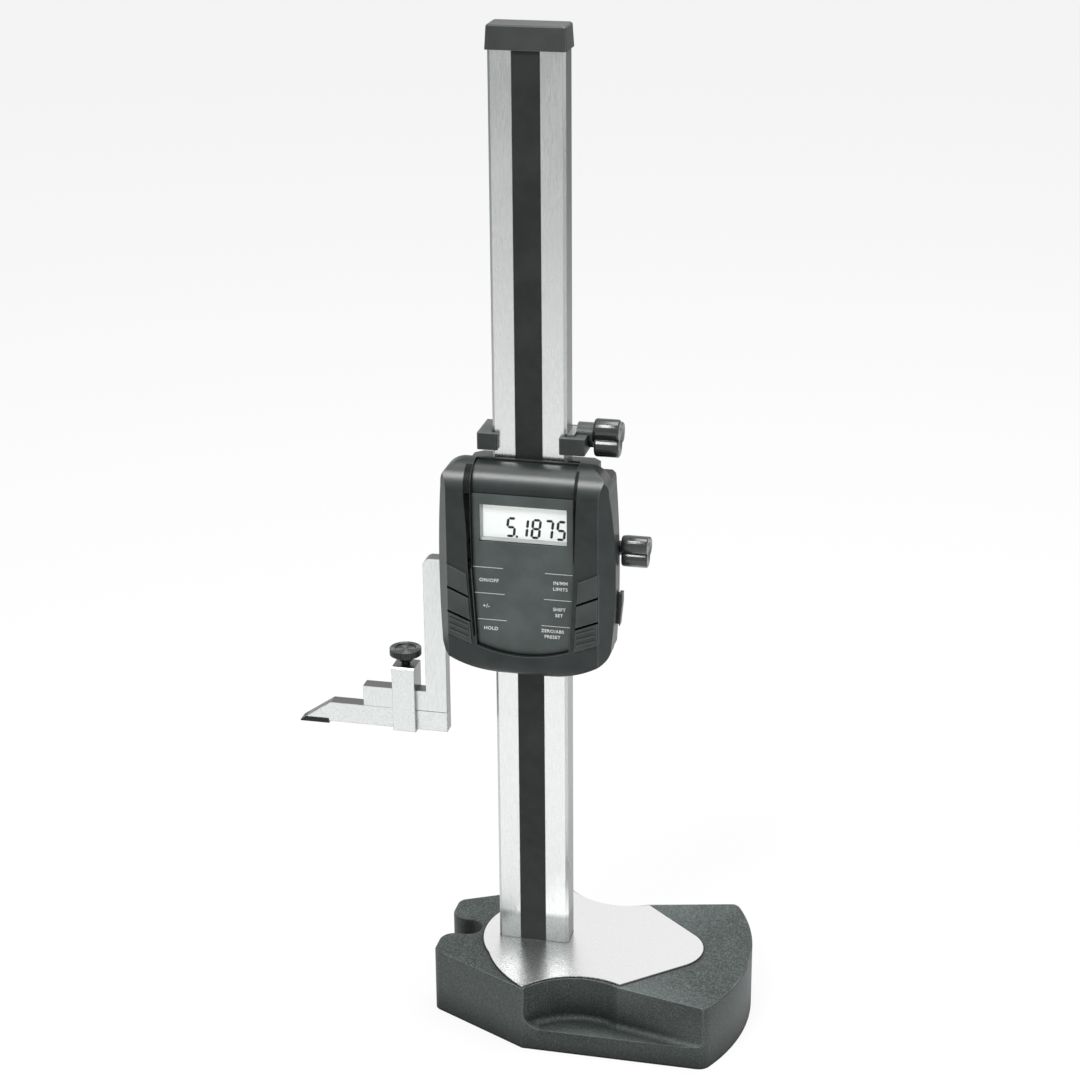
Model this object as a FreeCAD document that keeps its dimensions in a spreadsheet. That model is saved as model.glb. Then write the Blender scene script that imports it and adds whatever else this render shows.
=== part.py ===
import FreeCAD, Part
import Sketcher
import math
import os
import re

# Height gauge with an electronic display, about 450 mm tall.
# Frame: origin on the surface plate under the column's axis, +Z up, +X along the
# column's wide face to the long end of the base, the scriber points to -X and
# the display faces -Y. Millimetres.

os.makedirs("parts", exist_ok=True)
doc = FreeCAD.newDocument("height_gauge")
sheet = doc.addObject("Spreadsheet::Sheet", "Dims")

# Driving dimensions. Each one can be set by itself.
SIZES = dict(
    # base casting
    base_height=31.0, base_width=95.6, base_tip_x=100.3, base_corner_x=87.2,
    base_vertex_x=3.9, base_toe_x=43.4, toe_corner_y=23.5, toe_round=5.0, corner_round=6.0,
    base_edge=0.8, notch_width=13.0, notch_end_x=26.7, notch_round=7.0,
    overshoot=5.0, sink=1.0,
    scoop_floor=10.6, scoop_left_x=4.6, scoop_mid_x=27.0, scoop_mid_y=34.2, scoop_turn_x=46.0,
    scoop_turn_y=37.8, scoop_right_x=89.0, scoop_round=7.5, scoop_floor_round=3.0,
    scoop_over=12.0,
    pad_rise=0.8, pad_left_x=24.4, pad_side_x=17.5, pad_side_y=21.5, pad_right_x=78.3,
    pad_tip_x=71.5, pad_tip_y=14.0, pad_rim=1.2, pad_turn_rim=1.7, pad_turn_x=0.5,
    pad_inset=1.0, pad_side_bulge=1.8,
    relief_depth=1.5, relief_near_x=24.0, relief_far_x=84.0, relief_width=56.0, relief_round=8.0,
    column_screw_x=11.0, screw_shank=5.8, screw_head=10.0, screw_head_tall=6.0, counterbore=10.6,
    counterbore_deep=8.0, column_tap_deep=16.0, hex_socket=5.0,
    # column
    column_width=32.7, column_depth=12.7, column_top=450.0, column_chamfer=1.2,
    strip_width=12.0, strip_offset=0.17, strip_deep=0.8,
    cap_low_width=34.3, cap_low_depth=15.8, cap_top_width=33.4, cap_top_depth=14.0,
    cap_bottom=442.5, cap_height=10.0, cap_fit=0.05, cap_round=1.2, cap_edge=0.6,
    # slider frame and gib
    slide_gap=0.08, frame_bottom=180.6, frame_top=264.0, frame_half=28.2, frame_front=9.6,
    frame_back=12.5, frame_lip=2.8, frame_chamfer=3.5, gib_gap_width=3.2, gib_margin=4.0,
    gib_edge_gap=0.8, gib_screw_sunk=0.5, gib_socket_deep=3.0,
    gib_screw_radius=2.0, gib_screw_inset=14.0, lug_half=6.0, lug_reach=10.0, lug_height=12.0,
    lug_drop=2.0,
    # housing shells
    seam=8.0, house_front=22.6, house_bottom=171.0, house_top=268.6, house_half=39.3,
    house_widest=222.0, house_low_half=37.8, house_low=186.0, house_high_half=37.0,
    house_high=258.0, house_crown_half=26.0, heel_half=33.5, heel_height=180.2,
    bevel_in=5.9, bevel_start=12.5, crown_start=255.0, crown_back=10.6,
    crown_bulge_x=3.2, crown_bulge_z=2.6, heel_bulge_x=1.1, heel_bulge_z=0.7,
    chin_bulge_y=1.6, chin_bulge_z=1.8, crown_roll_y=3.2, crown_roll_z=4.2,
    panel_roll_y=3.0, panel_roll_z=4.6, panel_roll_drop=0.9, recess_waist=0.3,
    chin_start=181.0, chin_back=15.0, shell_wall=2.0, panel_plane=19.6, panel_crown=256.0,
    crown_wall=4.9, hollow_side_wall=1.4, hollow_bevel_wall=0.4, hollow_top=3.4,
    panel_crown_back=9.2, recess_top_half=22.7, recess_low_half=20.5, recess_low=186.2,
    recess_dip=182.4, cover_drop=7.0, cover_flat=3.5, cover_back=6.0, cover_low_half=34.0, cover_wall=1.6,
    cover_inset=0.25, cover_gap=0.15, cover_screw_sunk=6.0, way_gap=0.3,
    panel_thick=0.5, panel_fit=0.2, window_half=19.3, window_bottom=234.3, window_top=251.1,
    window_thick=1.4, window_fit=0.1, lcd_margin=1.8,
    board_face=12.2, board_thick=1.6, board_half=30.0, board_bottom=184.0, board_top=261.0,
    board_round=3.0, board_screw_inset=4.0, board_screw_low_x=16.0, board_screw_high_x=25.5,
    board_screw_head=0.9,
    head_half=12.0, head_bottom=188.0, head_top=256.0, head_gap=0.3,
    battery_radius=10.0, battery_thick=3.2, battery_height=200.0, clip_wall=0.6, clip_half=3.0,
    shell_screw_radius=1.2, shell_screw_head=2.2, shell_screw_head_tall=1.6,
    shell_screw_tip=3.0, screw_slot_half=0.35, screw_slot_deep=0.8, head_fit=0.1,
    boss_radius=2.6, boss_sink=0.5, boss_high_z=258.0, boss_high_x=33.0, boss_low_z=184.3,
    boss_low_x=33.6, shell_tap_wall=2.0, board_tap_wall=1.0, board_screw_tip=2.0,
    # keys
    key_pitch=11.25, key_gap=0.5, key_bottom=186.5, key_slant=0.37, key_in_low=22.4,
    key_in_high=24.4, key_out=33.6, key_proud=0.7, key_back=13.3,
    key_flange=0.7, key_flange_thick=1.0, key_fit=0.2, key_edge=0.4,
    flange_gap=0.15, rib_high=0.35, rib_wide=1.0, rib_in=1.6, rib_out=1.2, rib_sink=0.5,
    # jaw, scriber and clamp
    measuring_height=131.76, bar_thick=6.35, bar_height=9.5, bar_step=1.14, tip_x=110.0,
    slope_x=95.2, bar_end_x=40.1, carbide_x=96.3, carbide_thick=2.44, carbide_nose=0.54,
    foot_x=79.4, foot_height=9.8, arm_width=9.7, arm_top=217.0, arm_low=195.0, arm_round=3.6,
    arm_seat=8.0, jaw_screw_radius=1.7, jaw_screw_head=3.1, jaw_screw_head_tall=2.0,
    jaw_screw_inset=5.0, jaw_screw_tip=0.5,
    clamp_x=59.75, clamp_length=10.5, clamp_wall=2.4, clamp_floor=0.85, clamp_fit=0.06, clamp_edge=0.7,
    clamp_top=163.8, clamp_screw_radius=2.0, thumb_radius=7.2, thumb_thick=3.0,
    thumb_bottom=168.5, thumb_cone=3.2, skirt_inset=1.2, skirt_edge=0.6, dish_rim=2.0,
    dish_slope=0.6, dish_deep=0.5, knurl_count=40, knurl_radius=0.35,
    # knobs
    knob_hole_fit=0.06, lock_height=227.8, lock_screw_radius=2.0, lock_boss_radius=3.3,
    lock_boss_end=38.6, knob_start=40.0, knob_length=11.4, lobe_ring=3.7, lobe_radius=3.9,
    knob_core_more=0.3, knob_neck_radius=3.0, knob_neck_length=0.8, tip_gap=0.3,
    # fine adjustment carriage
    carriage_bottom=272.0, carriage_height=7.4, carriage_left=22.5, carriage_right=24.7,
    carriage_front=9.3, carriage_back=10.0, carriage_gib_proud=0.5,
    carriage_edge=0.6, carriage_gib_gap=0.5,
    cheek_boss_radius=5.4, cheek_boss_y=3.0, cheek_boss_height=277.8, cheek_boss_end=26.6,
    carriage_knob_start=27.4, carriage_knob_length=10.8, carriage_lobe_ring=4.5,
    carriage_lobe_radius=4.5,
    fine_axis_y=17.5, fine_screw_radius=2.0, fine_screw_bottom=252.0, fine_screw_top=291.0,
    fork_half=8.0, fork_back=24.0, fork_bottom=268.0, fork_top=283.0, wheel_bottom=272.2,
    wheel_height=6.6, wheel_radius=7.0, wheel_gap=0.3,
    # data port
    port_low=195.0, port_high=209.0, port_front=7.2, port_rear=3.9, port_deep=2.6, port_proud=1.5,
    port_seat=1.5, port_gap=0.5, port_inset=1.0, port_fit=0.1, flap_gap=0.3, flap_over=0.6,
    flap_bend=4.0, flap_low=0.45,
)

# Places worked out from the driving dimensions.
PLACES = dict(
    pad_top="base_height + pad_rise",
    half_width="base_width / 2",
    column_half="column_width / 2",
    column_face="column_depth / 2",
    bar_half="bar_thick / 2",
    bar_bottom="measuring_height + bar_step",
    bar_top="bar_bottom + bar_height",
    foot_top="bar_top + foot_height",
    arm_left="bar_end_x + arm_width",
    slope_rate="(bar_top - measuring_height - carbide_nose) / (tip_x - slope_x)",
    carbide_top="measuring_height + carbide_thick",
    carbide_slope_x="tip_x - (carbide_thick - carbide_nose) / slope_rate",
    channel_left="column_half + slide_gap",
    channel_face="column_face + slide_gap",
    gib_outer="column_half + gib_gap_width",
    gib_low="frame_bottom + gib_margin",
    gib_high="frame_top - gib_margin",
    lip_edge="column_half - frame_lip",
    cavity_face="panel_plane - shell_wall",
    board_back="board_face - board_thick",
    clamp_in="bar_half + clamp_fit",
    clamp_low="bar_bottom - clamp_fit - clamp_floor",
    clamp_roof="foot_top + clamp_fit",
    wheel_top="wheel_bottom + wheel_height",
    key_tilt="(key_out - key_in_low) * key_slant",
    cover_near="frame_half + cover_gap",
    cover_head="cover_back - cover_screw_sunk - shell_screw_head_tall",
    flap_face="house_half + flap_gap",
    port_reach="house_half - port_deep",
    clamp_out="clamp_in + clamp_wall",
    gib_length="frame_half - gib_outer",
)


def ref(text):
    """Write out a size expression in terms of the spreadsheet's cells."""
    def swap(found):
        word = found.group()
        if word in PLACES:
            return "(" + ref(PLACES[word]) + ")"
        return "Dims." + word if word in SIZES else word
    return re.sub(r"[a-z_][a-z_0-9]*", swap, str(text))


def val(text):
    """The present value of a size expression."""
    return float(sheet.evalExpression(ref(text)))


for row, (alias, number) in enumerate(SIZES.items(), start=1):
    sheet.set("A%d" % row, alias)
    sheet.set("B%d" % row, str(number))
    sheet.setAlias("B%d" % row, alias)
doc.recompute()

parts = []


def sub_part(item, label):
    """Name a finished sub-part, which is exported under that name."""
    item.Label = label
    parts.append(item)
    return item


def body(name):
    return doc.addObject("PartDesign::Body", name)


def sketch(owner, name, plane="XY_Plane", offset="0"):
    """A sketch on one of the body's own planes, lifted along the plane's normal.
    The normals are +Z for XY, -Y for XZ and +X for YZ."""
    drawing = owner.newObject("Sketcher::SketchObject", name)
    planes = {feature.Role: feature for feature in owner.Origin.OriginFeatures}
    drawing.AttachmentSupport = [(planes[plane], "")]
    drawing.MapMode = "FlatFace"
    drawing.setExpression("AttachmentOffset.Base.z", ref(offset))
    return drawing


def arc_through(start, middle, end):
    """The arc through three points, always drawn anticlockwise as a sketch wants it,
    and the order of its ends along the outline."""
    whole = Part.Circle(start, middle, end)
    centre = FreeCAD.Vector(whole.Center.x, whole.Center.y, 0)
    turns_left = (middle - start).cross(end - start).z > 0
    first, last = (start, end) if turns_left else (end, start)
    low = math.atan2(first.y - centre.y, first.x - centre.x)
    high = math.atan2(last.y - centre.y, last.x - centre.x)
    if high < low:
        high += 2 * math.pi
    circle = Part.Circle(centre, FreeCAD.Vector(0, 0, 1), whole.Radius)
    return Part.ArcOfCircle(circle, low, high), (1, 2) if turns_left else (2, 1)


def outline(drawing, path):
    """Draw a closed outline. path holds corners (x, y) and, between two corners,
    an optional ("via", x, y) that makes the stretch an arc through that point."""
    corners = [step for step in path if step[0] != "via"]
    vias = {}
    count = -1
    for step in path:
        if step[0] == "via":
            vias[count] = FreeCAD.Vector(val(step[1]), val(step[2]), 0)
        else:
            count += 1
    first = drawing.GeometryCount
    spots = [FreeCAD.Vector(val(x), val(y), 0) for x, y in corners]
    total = len(spots)
    ends = []
    for index, spot in enumerate(spots):
        following = spots[(index + 1) % total]
        if index in vias:
            arc, order = arc_through(spot, vias[index], following)
            drawing.addGeometry(arc, False)
            ends.append(order)
        else:
            drawing.addGeometry(Part.LineSegment(spot, following), False)
            ends.append((1, 2))
    for index, (x, y) in enumerate(corners):
        here = first + index
        after = first + (index + 1) % total
        drawing.addConstraint(Sketcher.Constraint(
            "Coincident", here, ends[index][1], after, ends[(index + 1) % total][0]))
        for kind, text in (("DistanceX", x), ("DistanceY", y)):
            number = drawing.addConstraint(Sketcher.Constraint(
                kind, -1, 1, here, ends[index][0], val(text)))
            drawing.setExpression("Constraints[%d]" % number, ref(text))
    return drawing


def rectangle(drawing, x0, y0, x1, y1):
    return outline(drawing, [(x0, y0), (x1, y0), (x1, y1), (x0, y1)])


def ring(drawing, x, y, radius):
    """Draw a circle whose centre and radius follow the sheet."""
    here = drawing.addGeometry(Part.Circle(
        FreeCAD.Vector(val(x), val(y), 0), FreeCAD.Vector(0, 0, 1), val(radius)), False)
    for kind, text in (("DistanceX", x), ("DistanceY", y)):
        number = drawing.addConstraint(Sketcher.Constraint(kind, -1, 1, here, 3, val(text)))
        drawing.setExpression("Constraints[%d]" % number, ref(text))
    number = drawing.addConstraint(Sketcher.Constraint("Radius", here, val(radius)))
    drawing.setExpression("Constraints[%d]" % number, ref(radius))
    return drawing


def extrude(owner, kind, name, drawing, length, backwards=False, both=False):
    feature = owner.newObject("PartDesign::" + kind, name)
    feature.Profile = drawing
    feature.Refine = True
    feature.Reversed = backwards
    if both:
        feature.SideType = "Symmetric"
    feature.setExpression("Length", ref(length))
    doc.recompute()
    return feature


def pad(owner, name, drawing, length, backwards=False, both=False):
    return extrude(owner, "Pad", name, drawing, length, backwards, both)


def pocket(owner, name, drawing, length, backwards=False, both=False):
    before = owner.Shape.Volume
    feature = extrude(owner, "Pocket", name, drawing, length, backwards, both)
    if not owner.Shape.Volume < before - 1e-6:
        raise RuntimeError(name + " cuts nothing")
    return feature


def edges_where(shape, test):
    """Names of the edges whose box and middle pass a test."""
    names = []
    for index, edge in enumerate(shape.Edges, start=1):
        if test(edge.BoundBox, edge.CenterOfMass):
            names.append("Edge%d" % index)
    if not names:
        raise RuntimeError("no edge was found")
    return names


def soften(owner, name, radius, test, kind="Fillet"):
    """Fillet or chamfer the edges of a body that pass the test."""
    last = owner.Tip
    names = edges_where(last.Shape, test)
    feature = owner.newObject("PartDesign::" + kind, name)
    feature.Base = (last, names)
    feature.setExpression("Radius" if kind == "Fillet" else "Size", ref(radius))
    doc.recompute()
    return feature


def box(name, x0, y0, z0, x1, y1, z1):
    """A block between two corners given as size expressions."""
    block = doc.addObject("Part::Box", name)
    for axis, side, low, high in (("x", "Length", x0, x1), ("y", "Width", y0, y1),
                                  ("z", "Height", z0, z1)):
        block.setExpression("Placement.Base." + axis, ref(low))
        block.setExpression(side, ref("(%s) - (%s)" % (high, low)))
    return block


TURNS = {
    "z": FreeCAD.Rotation(),
    "x": FreeCAD.Rotation(FreeCAD.Vector(0, 1, 0), 90),
    "y": FreeCAD.Rotation(FreeCAD.Vector(1, 0, 0), -90),
}


def rod(name, axis, x, y, z, radius, length):
    """A cylinder that starts at x, y, z and runs along +axis."""
    bar = doc.addObject("Part::Cylinder", name)
    bar.Placement = FreeCAD.Placement(FreeCAD.Vector(), TURNS[axis])
    for letter, text in (("x", x), ("y", y), ("z", z)):
        bar.setExpression("Placement.Base." + letter, ref(text))
    bar.setExpression("Radius", ref(radius))
    bar.setExpression("Height", ref(length))
    return bar


def cone(name, axis, x, y, z, first, second, length):
    shape = doc.addObject("Part::Cone", name)
    shape.Placement = FreeCAD.Placement(FreeCAD.Vector(), TURNS[axis])
    for letter, text in (("x", x), ("y", y), ("z", z)):
        shape.setExpression("Placement.Base." + letter, ref(text))
    shape.setExpression("Radius1", ref(first))
    shape.setExpression("Radius2", ref(second))
    shape.setExpression("Height", ref(length))
    return shape


def fuse(name, *items):
    joined = doc.addObject("Part::MultiFuse", name)
    joined.Shapes = list(items)
    joined.Refine = True
    doc.recompute()
    return joined


def common(name, *items):
    shared = doc.addObject("Part::MultiCommon", name)
    shared.Shapes = list(items)
    shared.Refine = True
    doc.recompute()
    return shared


def cut(name, stock, *tools):
    tool = tools[0] if len(tools) == 1 else fuse(name + "_tools", *tools)
    result = doc.addObject("Part::Cut", name)
    result.Base = stock
    result.Tool = tool
    result.Refine = True
    doc.recompute()
    return result


def prism(name, plane, path, start, length):
    """A body padded from an outline, from start along the plane's normal."""
    owner = body(name)
    drawing = outline(sketch(owner, name + "_sketch", plane, start), path)
    pad(owner, name + "_pad", drawing, length)
    return owner


def neg(text):
    return "-(%s)" % text


def mirrored(path):
    """The second half of an outline, mirrored in x and walked backwards."""
    back = []
    for step in reversed(path):
        if step[0] == "via":
            back.append(("via", neg(step[1]), step[2]))
        else:
            back.append((neg(step[0]), step[1]))
    return back


# Base casting: a toed plate with a straight front and back, a curved end, a notch
# that the scriber passes through, two finger scoops and a ground pad on top.
def make_base():
    toe = "-base_toe_x"
    blank = body("base_blank")
    plan = outline(sketch(blank, "base_plan"), [
        ("base_vertex_x", "-half_width"), ("base_corner_x", "-half_width"),
        ("via", "base_tip_x", "0"), ("base_corner_x", "half_width"),
        ("base_vertex_x", "half_width"), (toe, "toe_corner_y"), (toe, "-toe_corner_y")])
    pad(blank, "base_block", plan, "base_height")
    upright = 0.9 * val("base_height")
    soften(blank, "base_corners", "corner_round", lambda b, c: (
        b.ZLength > upright and abs(c.x - val("base_corner_x")) < 0.1))
    soften(blank, "toe_corners", "toe_round", lambda b, c: (
        b.ZLength > upright and abs(c.x + val("base_toe_x")) < 0.1))
    slot = sketch(blank, "notch_plan")
    outline(slot, [("-base_toe_x - overshoot", "-notch_width / 2"),
                   ("-notch_end_x - notch_width / 2", "-notch_width / 2"),
                   ("via", "-notch_end_x", "0"),
                   ("-notch_end_x - notch_width / 2", "notch_width / 2"),
                   ("-base_toe_x - overshoot", "notch_width / 2")])
    pocket(blank, "notch", slot, "base_height", backwards=True)
    soften(blank, "notch_lips", "notch_round", lambda b, c: (
        b.ZLength > upright and b.YLength < 0.1 and abs(c.x + val("base_toe_x")) < 0.1
        and abs(abs(c.y) - val("notch_width") / 2) < 0.1))
    soften(blank, "base_top_edge", "base_edge", lambda b, c: (
        b.ZLength < 0.01 and abs(c.z - val("base_height")) < 0.01))
    relief = sketch(blank, "relief_plan")
    rectangle(relief, "relief_near_x", "-relief_width / 2", "relief_far_x", "relief_width / 2")
    pocket(blank, "relief", relief, "relief_depth", backwards=True)
    soften(blank, "relief_corners", "relief_round", lambda b, c: (
        abs(b.ZLength - val("relief_depth")) < 0.01 and b.XLength < 0.01 and b.YLength < 0.01))
    ground = prism("ground_pad", "XY_Plane", pad_path(), "base_height - sink",
                   "pad_rise + sink")
    scoops = [scoop("front_scoop", "-1"), scoop("back_scoop", "1")]
    bores = [rod("counterbore_" + side, "z", x, "0", "0", "counterbore / 2", "counterbore_deep")
             for side, x in (("a", "-column_screw_x"), ("b", "column_screw_x"))]
    shanks = [rod("shank_hole_" + side, "z", x, "0", "0", "screw_shank / 2", "pad_top + sink")
              for side, x in (("a", "-column_screw_x"), ("b", "column_screw_x"))]
    solid = fuse("base_solid", blank, ground)
    sub_part(cut("base_cut", solid, *(scoops + bores + shanks)), "base_casting")


def pad_path():
    """Plan of the ground pad: a leaf between the two scoops, with a rounded end."""
    vertex_y = "half_width - pad_inset"
    bulge_x = "(base_vertex_x - pad_side_x) / 2 - pad_side_bulge"
    bulge_y = "(half_width + pad_side_y) / 2 + pad_inset"
    turn_x = "scoop_turn_x + pad_turn_x"
    turn_y = "scoop_turn_y - pad_turn_rim"
    return [
        ("base_vertex_x", neg(vertex_y)),
        ("via", "scoop_mid_x", "-(scoop_mid_y - pad_rim)"),
        (turn_x, neg(turn_y)),
        ("pad_tip_x", "-pad_tip_y"),
        ("via", "pad_right_x", "0"),
        ("pad_tip_x", "pad_tip_y"),
        (turn_x, turn_y),
        ("via", "scoop_mid_x", "scoop_mid_y - pad_rim"),
        ("base_vertex_x", vertex_y),
        ("via", bulge_x, bulge_y),
        ("-pad_side_x", "pad_side_y"),
        ("via", "-pad_left_x", "0"),
        ("-pad_side_x", "-pad_side_y"),
        ("via", bulge_x, neg(bulge_y)),
    ]


def scoop(name, side):
    """A finger scoop: curved in plan, with round lower corners seen from the side."""
    out = "%s * (half_width + scoop_over)" % side
    plan = prism(name + "_plan", "XY_Plane", [
        ("scoop_left_x", out), ("scoop_left_x", "%s * half_width" % side),
        ("via", "scoop_mid_x", "%s * scoop_mid_y" % side),
        ("scoop_turn_x", "%s * scoop_turn_y" % side),
        ("scoop_right_x", "%s * half_width" % side), ("scoop_right_x", out)],
        "scoop_floor", "base_height")
    soften(plan, name + "_floor", "scoop_floor_round", lambda b, c: (
        b.ZLength < 0.01 and abs(c.z - val("scoop_floor")) < 0.01
        and abs(c.y) < val("half_width") + 1 and b.XLength > 20))
    start = "half_width - 2 * scoop_over" if side == "-1" else "-half_width - scoop_over"
    face = prism(name + "_face", "XZ_Plane", [
        ("scoop_left_x", "scoop_floor"), ("scoop_right_x", "scoop_floor"),
        ("scoop_right_x", "base_height + scoop_over"),
        ("scoop_left_x", "base_height + scoop_over")], start, "3 * scoop_over")
    soften(face, name + "_ends", "scoop_round", lambda b, c: (
        b.YLength > 30 and abs(c.z - val("scoop_floor")) < 0.01))
    return common(name, plan, face)


SOCKET_SHARE = 0.5
SOCKET_OVER = 0.05


def screw(name, axis, x, y, z, radius, length, head_radius, head_length, socket, toward=1):
    """A cap screw: a shank, then a head with a hexagon or cross socket in its end."""
    shank = rod(name + "_shank", axis, x, y, z, radius, length)
    spot = {"x": x, "y": y, "z": z}
    start = dict(spot)
    step = length if toward == 1 else neg(head_length)
    start[axis] = "(%s) + (%s)" % (spot[axis], step)
    head = rod(name + "_head", axis, start["x"], start["y"], start["z"], head_radius, head_length)
    depth = "(%s) * %s" % (head_length, SOCKET_SHARE + SOCKET_OVER)
    mouth = dict(start)
    offset = "(%s) * %s" % (head_length, SOCKET_SHARE if toward == 1 else -SOCKET_OVER)
    mouth[axis] = "(%s) + %s" % (start[axis], offset)
    hexagon = doc.addObject("Part::Prism", name + "_socket")
    hexagon.Polygon = 6
    hexagon.Placement = FreeCAD.Placement(FreeCAD.Vector(), TURNS[axis])
    for letter in "xyz":
        hexagon.setExpression("Placement.Base." + letter, ref(mouth[letter]))
    hexagon.setExpression("Circumradius", ref(socket))
    hexagon.setExpression("Height", ref(depth))
    return cut(name, fuse(name + "_blank", shank, head), hexagon)


def make_column():
    screws = [screw("column_screw_" + side, "z", x, "0", "counterbore_deep",
                    "screw_shank / 2", "pad_top - counterbore_deep + column_tap_deep",
                    "screw_head / 2", "screw_head_tall", "hex_socket / sqrt(3)", toward=-1)
              for side, x in (("a", "-column_screw_x"), ("b", "column_screw_x"))]
    sub_part(compound("column_screw_pair", screws), "column_screws")
    bar = body("column_bar")
    section = rectangle(sketch(bar, "column_section", offset="pad_top"),
                        "-column_half", "-column_face", "column_half", "column_face")
    pad(bar, "column_pad", section, "column_top - pad_top")
    soften(bar, "column_chamfers", "column_chamfer", lambda b, c: (
        b.ZLength > 100 and b.XLength < 0.01 and b.YLength < 0.01), "Chamfer")
    groove = rectangle(sketch(bar, "strip_groove", offset="pad_top"),
                       "-strip_width / 2 - strip_offset", "-column_face - overshoot",
                       "strip_width / 2 - strip_offset", "-column_face + strip_deep")
    pocket(bar, "strip_seat", groove, "column_top - pad_top", backwards=True)
    taps = sketch(bar, "column_taps", offset="pad_top")
    ring(taps, "-column_screw_x", "0", "screw_shank / 2")
    ring(taps, "column_screw_x", "0", "screw_shank / 2")
    pocket(bar, "tapped_holes", taps, "column_tap_deep", backwards=True)
    sub_part(bar, "column")
    sub_part(box("strip", "-strip_width / 2 - strip_offset", "-column_face", "pad_top",
                 "strip_width / 2 - strip_offset", "-column_face + strip_deep", "column_top"),
             "scale_strip")


def compound(name, items):
    """Like pieces in one node, as separate solids."""
    group = doc.addObject("Part::Compound", name)
    group.Links = items
    doc.recompute()
    return group


def rounded(drawing, half_x, half_y, radius):
    """A rectangle about the origin with round corners."""
    inner = "(%s) * 0.292893" % radius
    path = []
    for sx, sy, across in ((1, -1, True), (1, 1, False), (-1, 1, True), (-1, -1, False)):
        x, y = "%d * (%s)" % (sx, half_x), "%d * (%s)" % (sy, half_y)
        along = ("%s - %d * (%s)" % (x, sx, radius), y)
        up = (x, "%s - %d * (%s)" % (y, sy, radius))
        via = ("via", "%s - %d * %s" % (x, sx, inner), "%s - %d * %s" % (y, sy, inner))
        path += [along, via, up] if across else [up, via, along]
    return outline(drawing, path)


def make_cap():
    cap = body("cap_body")
    low = rounded(sketch(cap, "cap_low", offset="cap_bottom"),
                  "cap_low_width / 2", "cap_low_depth / 2", "cap_round")
    high = rounded(sketch(cap, "cap_high", offset="cap_bottom + cap_height - cap_edge"),
                   "cap_top_width / 2", "cap_top_depth / 2", "cap_round")
    crown = rounded(sketch(cap, "cap_crown", offset="cap_bottom + cap_height"),
                    "cap_top_width / 2 - cap_edge", "cap_top_depth / 2 - cap_edge",
                    "cap_round - cap_edge / 2")
    loft = cap.newObject("PartDesign::AdditiveLoft", "cap_loft")
    loft.Profile = low
    loft.Sections = [high, crown]
    loft.Ruled = True
    doc.recompute()
    hole = rectangle(sketch(cap, "cap_socket", offset="cap_bottom"),
                     "-column_half - cap_fit", "-column_face - cap_fit",
                     "column_half + cap_fit", "column_face + cap_fit")
    pocket(cap, "cap_hole", hole, "column_top - cap_bottom", backwards=True)
    sub_part(cap, "top_cap")


def make_slider_frame():
    """The metal slider: a channel round the column with two front lips, a gib seat on
    the right, a seat for the jaw on the left and the lug of the fine screw behind."""
    frame = body("frame_body")
    section = outline(sketch(frame, "frame_section", offset="frame_bottom"), [
        ("-frame_half", "-frame_front"), ("-lip_edge", "-frame_front"),
        ("-lip_edge", "-channel_face"), ("-channel_left", "-channel_face"),
        ("-channel_left", "channel_face"), ("gib_outer", "channel_face"),
        ("gib_outer", "-channel_face"), ("lip_edge", "-channel_face"),
        ("lip_edge", "-frame_front"), ("frame_half", "-frame_front"),
        ("frame_half", "frame_back"), ("-frame_half", "frame_back")])
    pad(frame, "frame_pad", section, "frame_top - frame_bottom")
    soften(frame, "frame_back_corners", "frame_chamfer", lambda b, c: (
        b.ZLength > 50 and abs(abs(c.x) - val("frame_half")) < 0.01
        and abs(c.y - val("frame_back")) < 0.01), "Chamfer")
    lug = box("fine_lug", "-lug_half", "frame_back - sink", "frame_top - lug_drop - lug_height",
              "lug_half", "frame_back + lug_reach", "frame_top - lug_drop")
    boss = rod("lock_boss", "x", "frame_half - sink", "0", "lock_height", "lock_boss_radius",
               "lock_boss_end - frame_half + sink")
    seat = box("jaw_seat", "-frame_half - overshoot", "-bar_half", "arm_low", "-frame_half + arm_seat",
               "bar_half", "arm_top")
    lock_hole = rod("lock_hole", "x", "gib_outer - sink", "0", "lock_height",
                    "lock_screw_radius + knob_hole_fit", "lock_boss_end")
    gib_holes = [rod("gib_hole_" + side, "x", "gib_outer - sink", "0", z, "gib_screw_radius",
                     "gib_length + 2 * sink")
                 for side, z in (("a", "frame_bottom + gib_screw_inset"),
                                 ("b", "frame_top - gib_screw_inset"))]
    fine_hole = rod("fine_hole", "z", "0", "fine_axis_y", "fine_screw_bottom",
                    "fine_screw_radius", "fine_screw_top - fine_screw_bottom")
    jaw_holes = [rod("jaw_hole_" + side, "y", jaw_screw_x(), "-bar_half", z, "jaw_screw_radius",
                     "frame_back + bar_half + sink") for side, z in jaw_screw_places()]
    solid = fuse("frame_solid", frame, lug, boss)
    sub_part(cut("frame_cut", solid, seat, lock_hole, fine_hole, *(gib_holes + jaw_holes)),
             "slider_frame")
    sub_part(box("slider_gib_bar", "column_half + slide_gap", "-channel_face + gib_edge_gap",
                 "gib_low", "gib_outer", "channel_face - gib_edge_gap", "gib_high"), "slider_gib")
    screws = []
    for side, z in (("a", "frame_bottom + gib_screw_inset"), ("b", "frame_top - gib_screw_inset")):
        shank = rod("gib_screw_%s_rod" % side, "x", "gib_outer", "0", z, "gib_screw_radius",
                    "gib_length - gib_screw_sunk")
        socket = rod("gib_screw_%s_socket" % side, "x", "frame_half - gib_socket_deep", "0", z,
                     "gib_screw_radius / 2", "gib_socket_deep + sink")
        screws.append(cut("gib_screw_" + side, shank, socket))
    sub_part(compound("gib_screw_pair", screws), "gib_screws")


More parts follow.
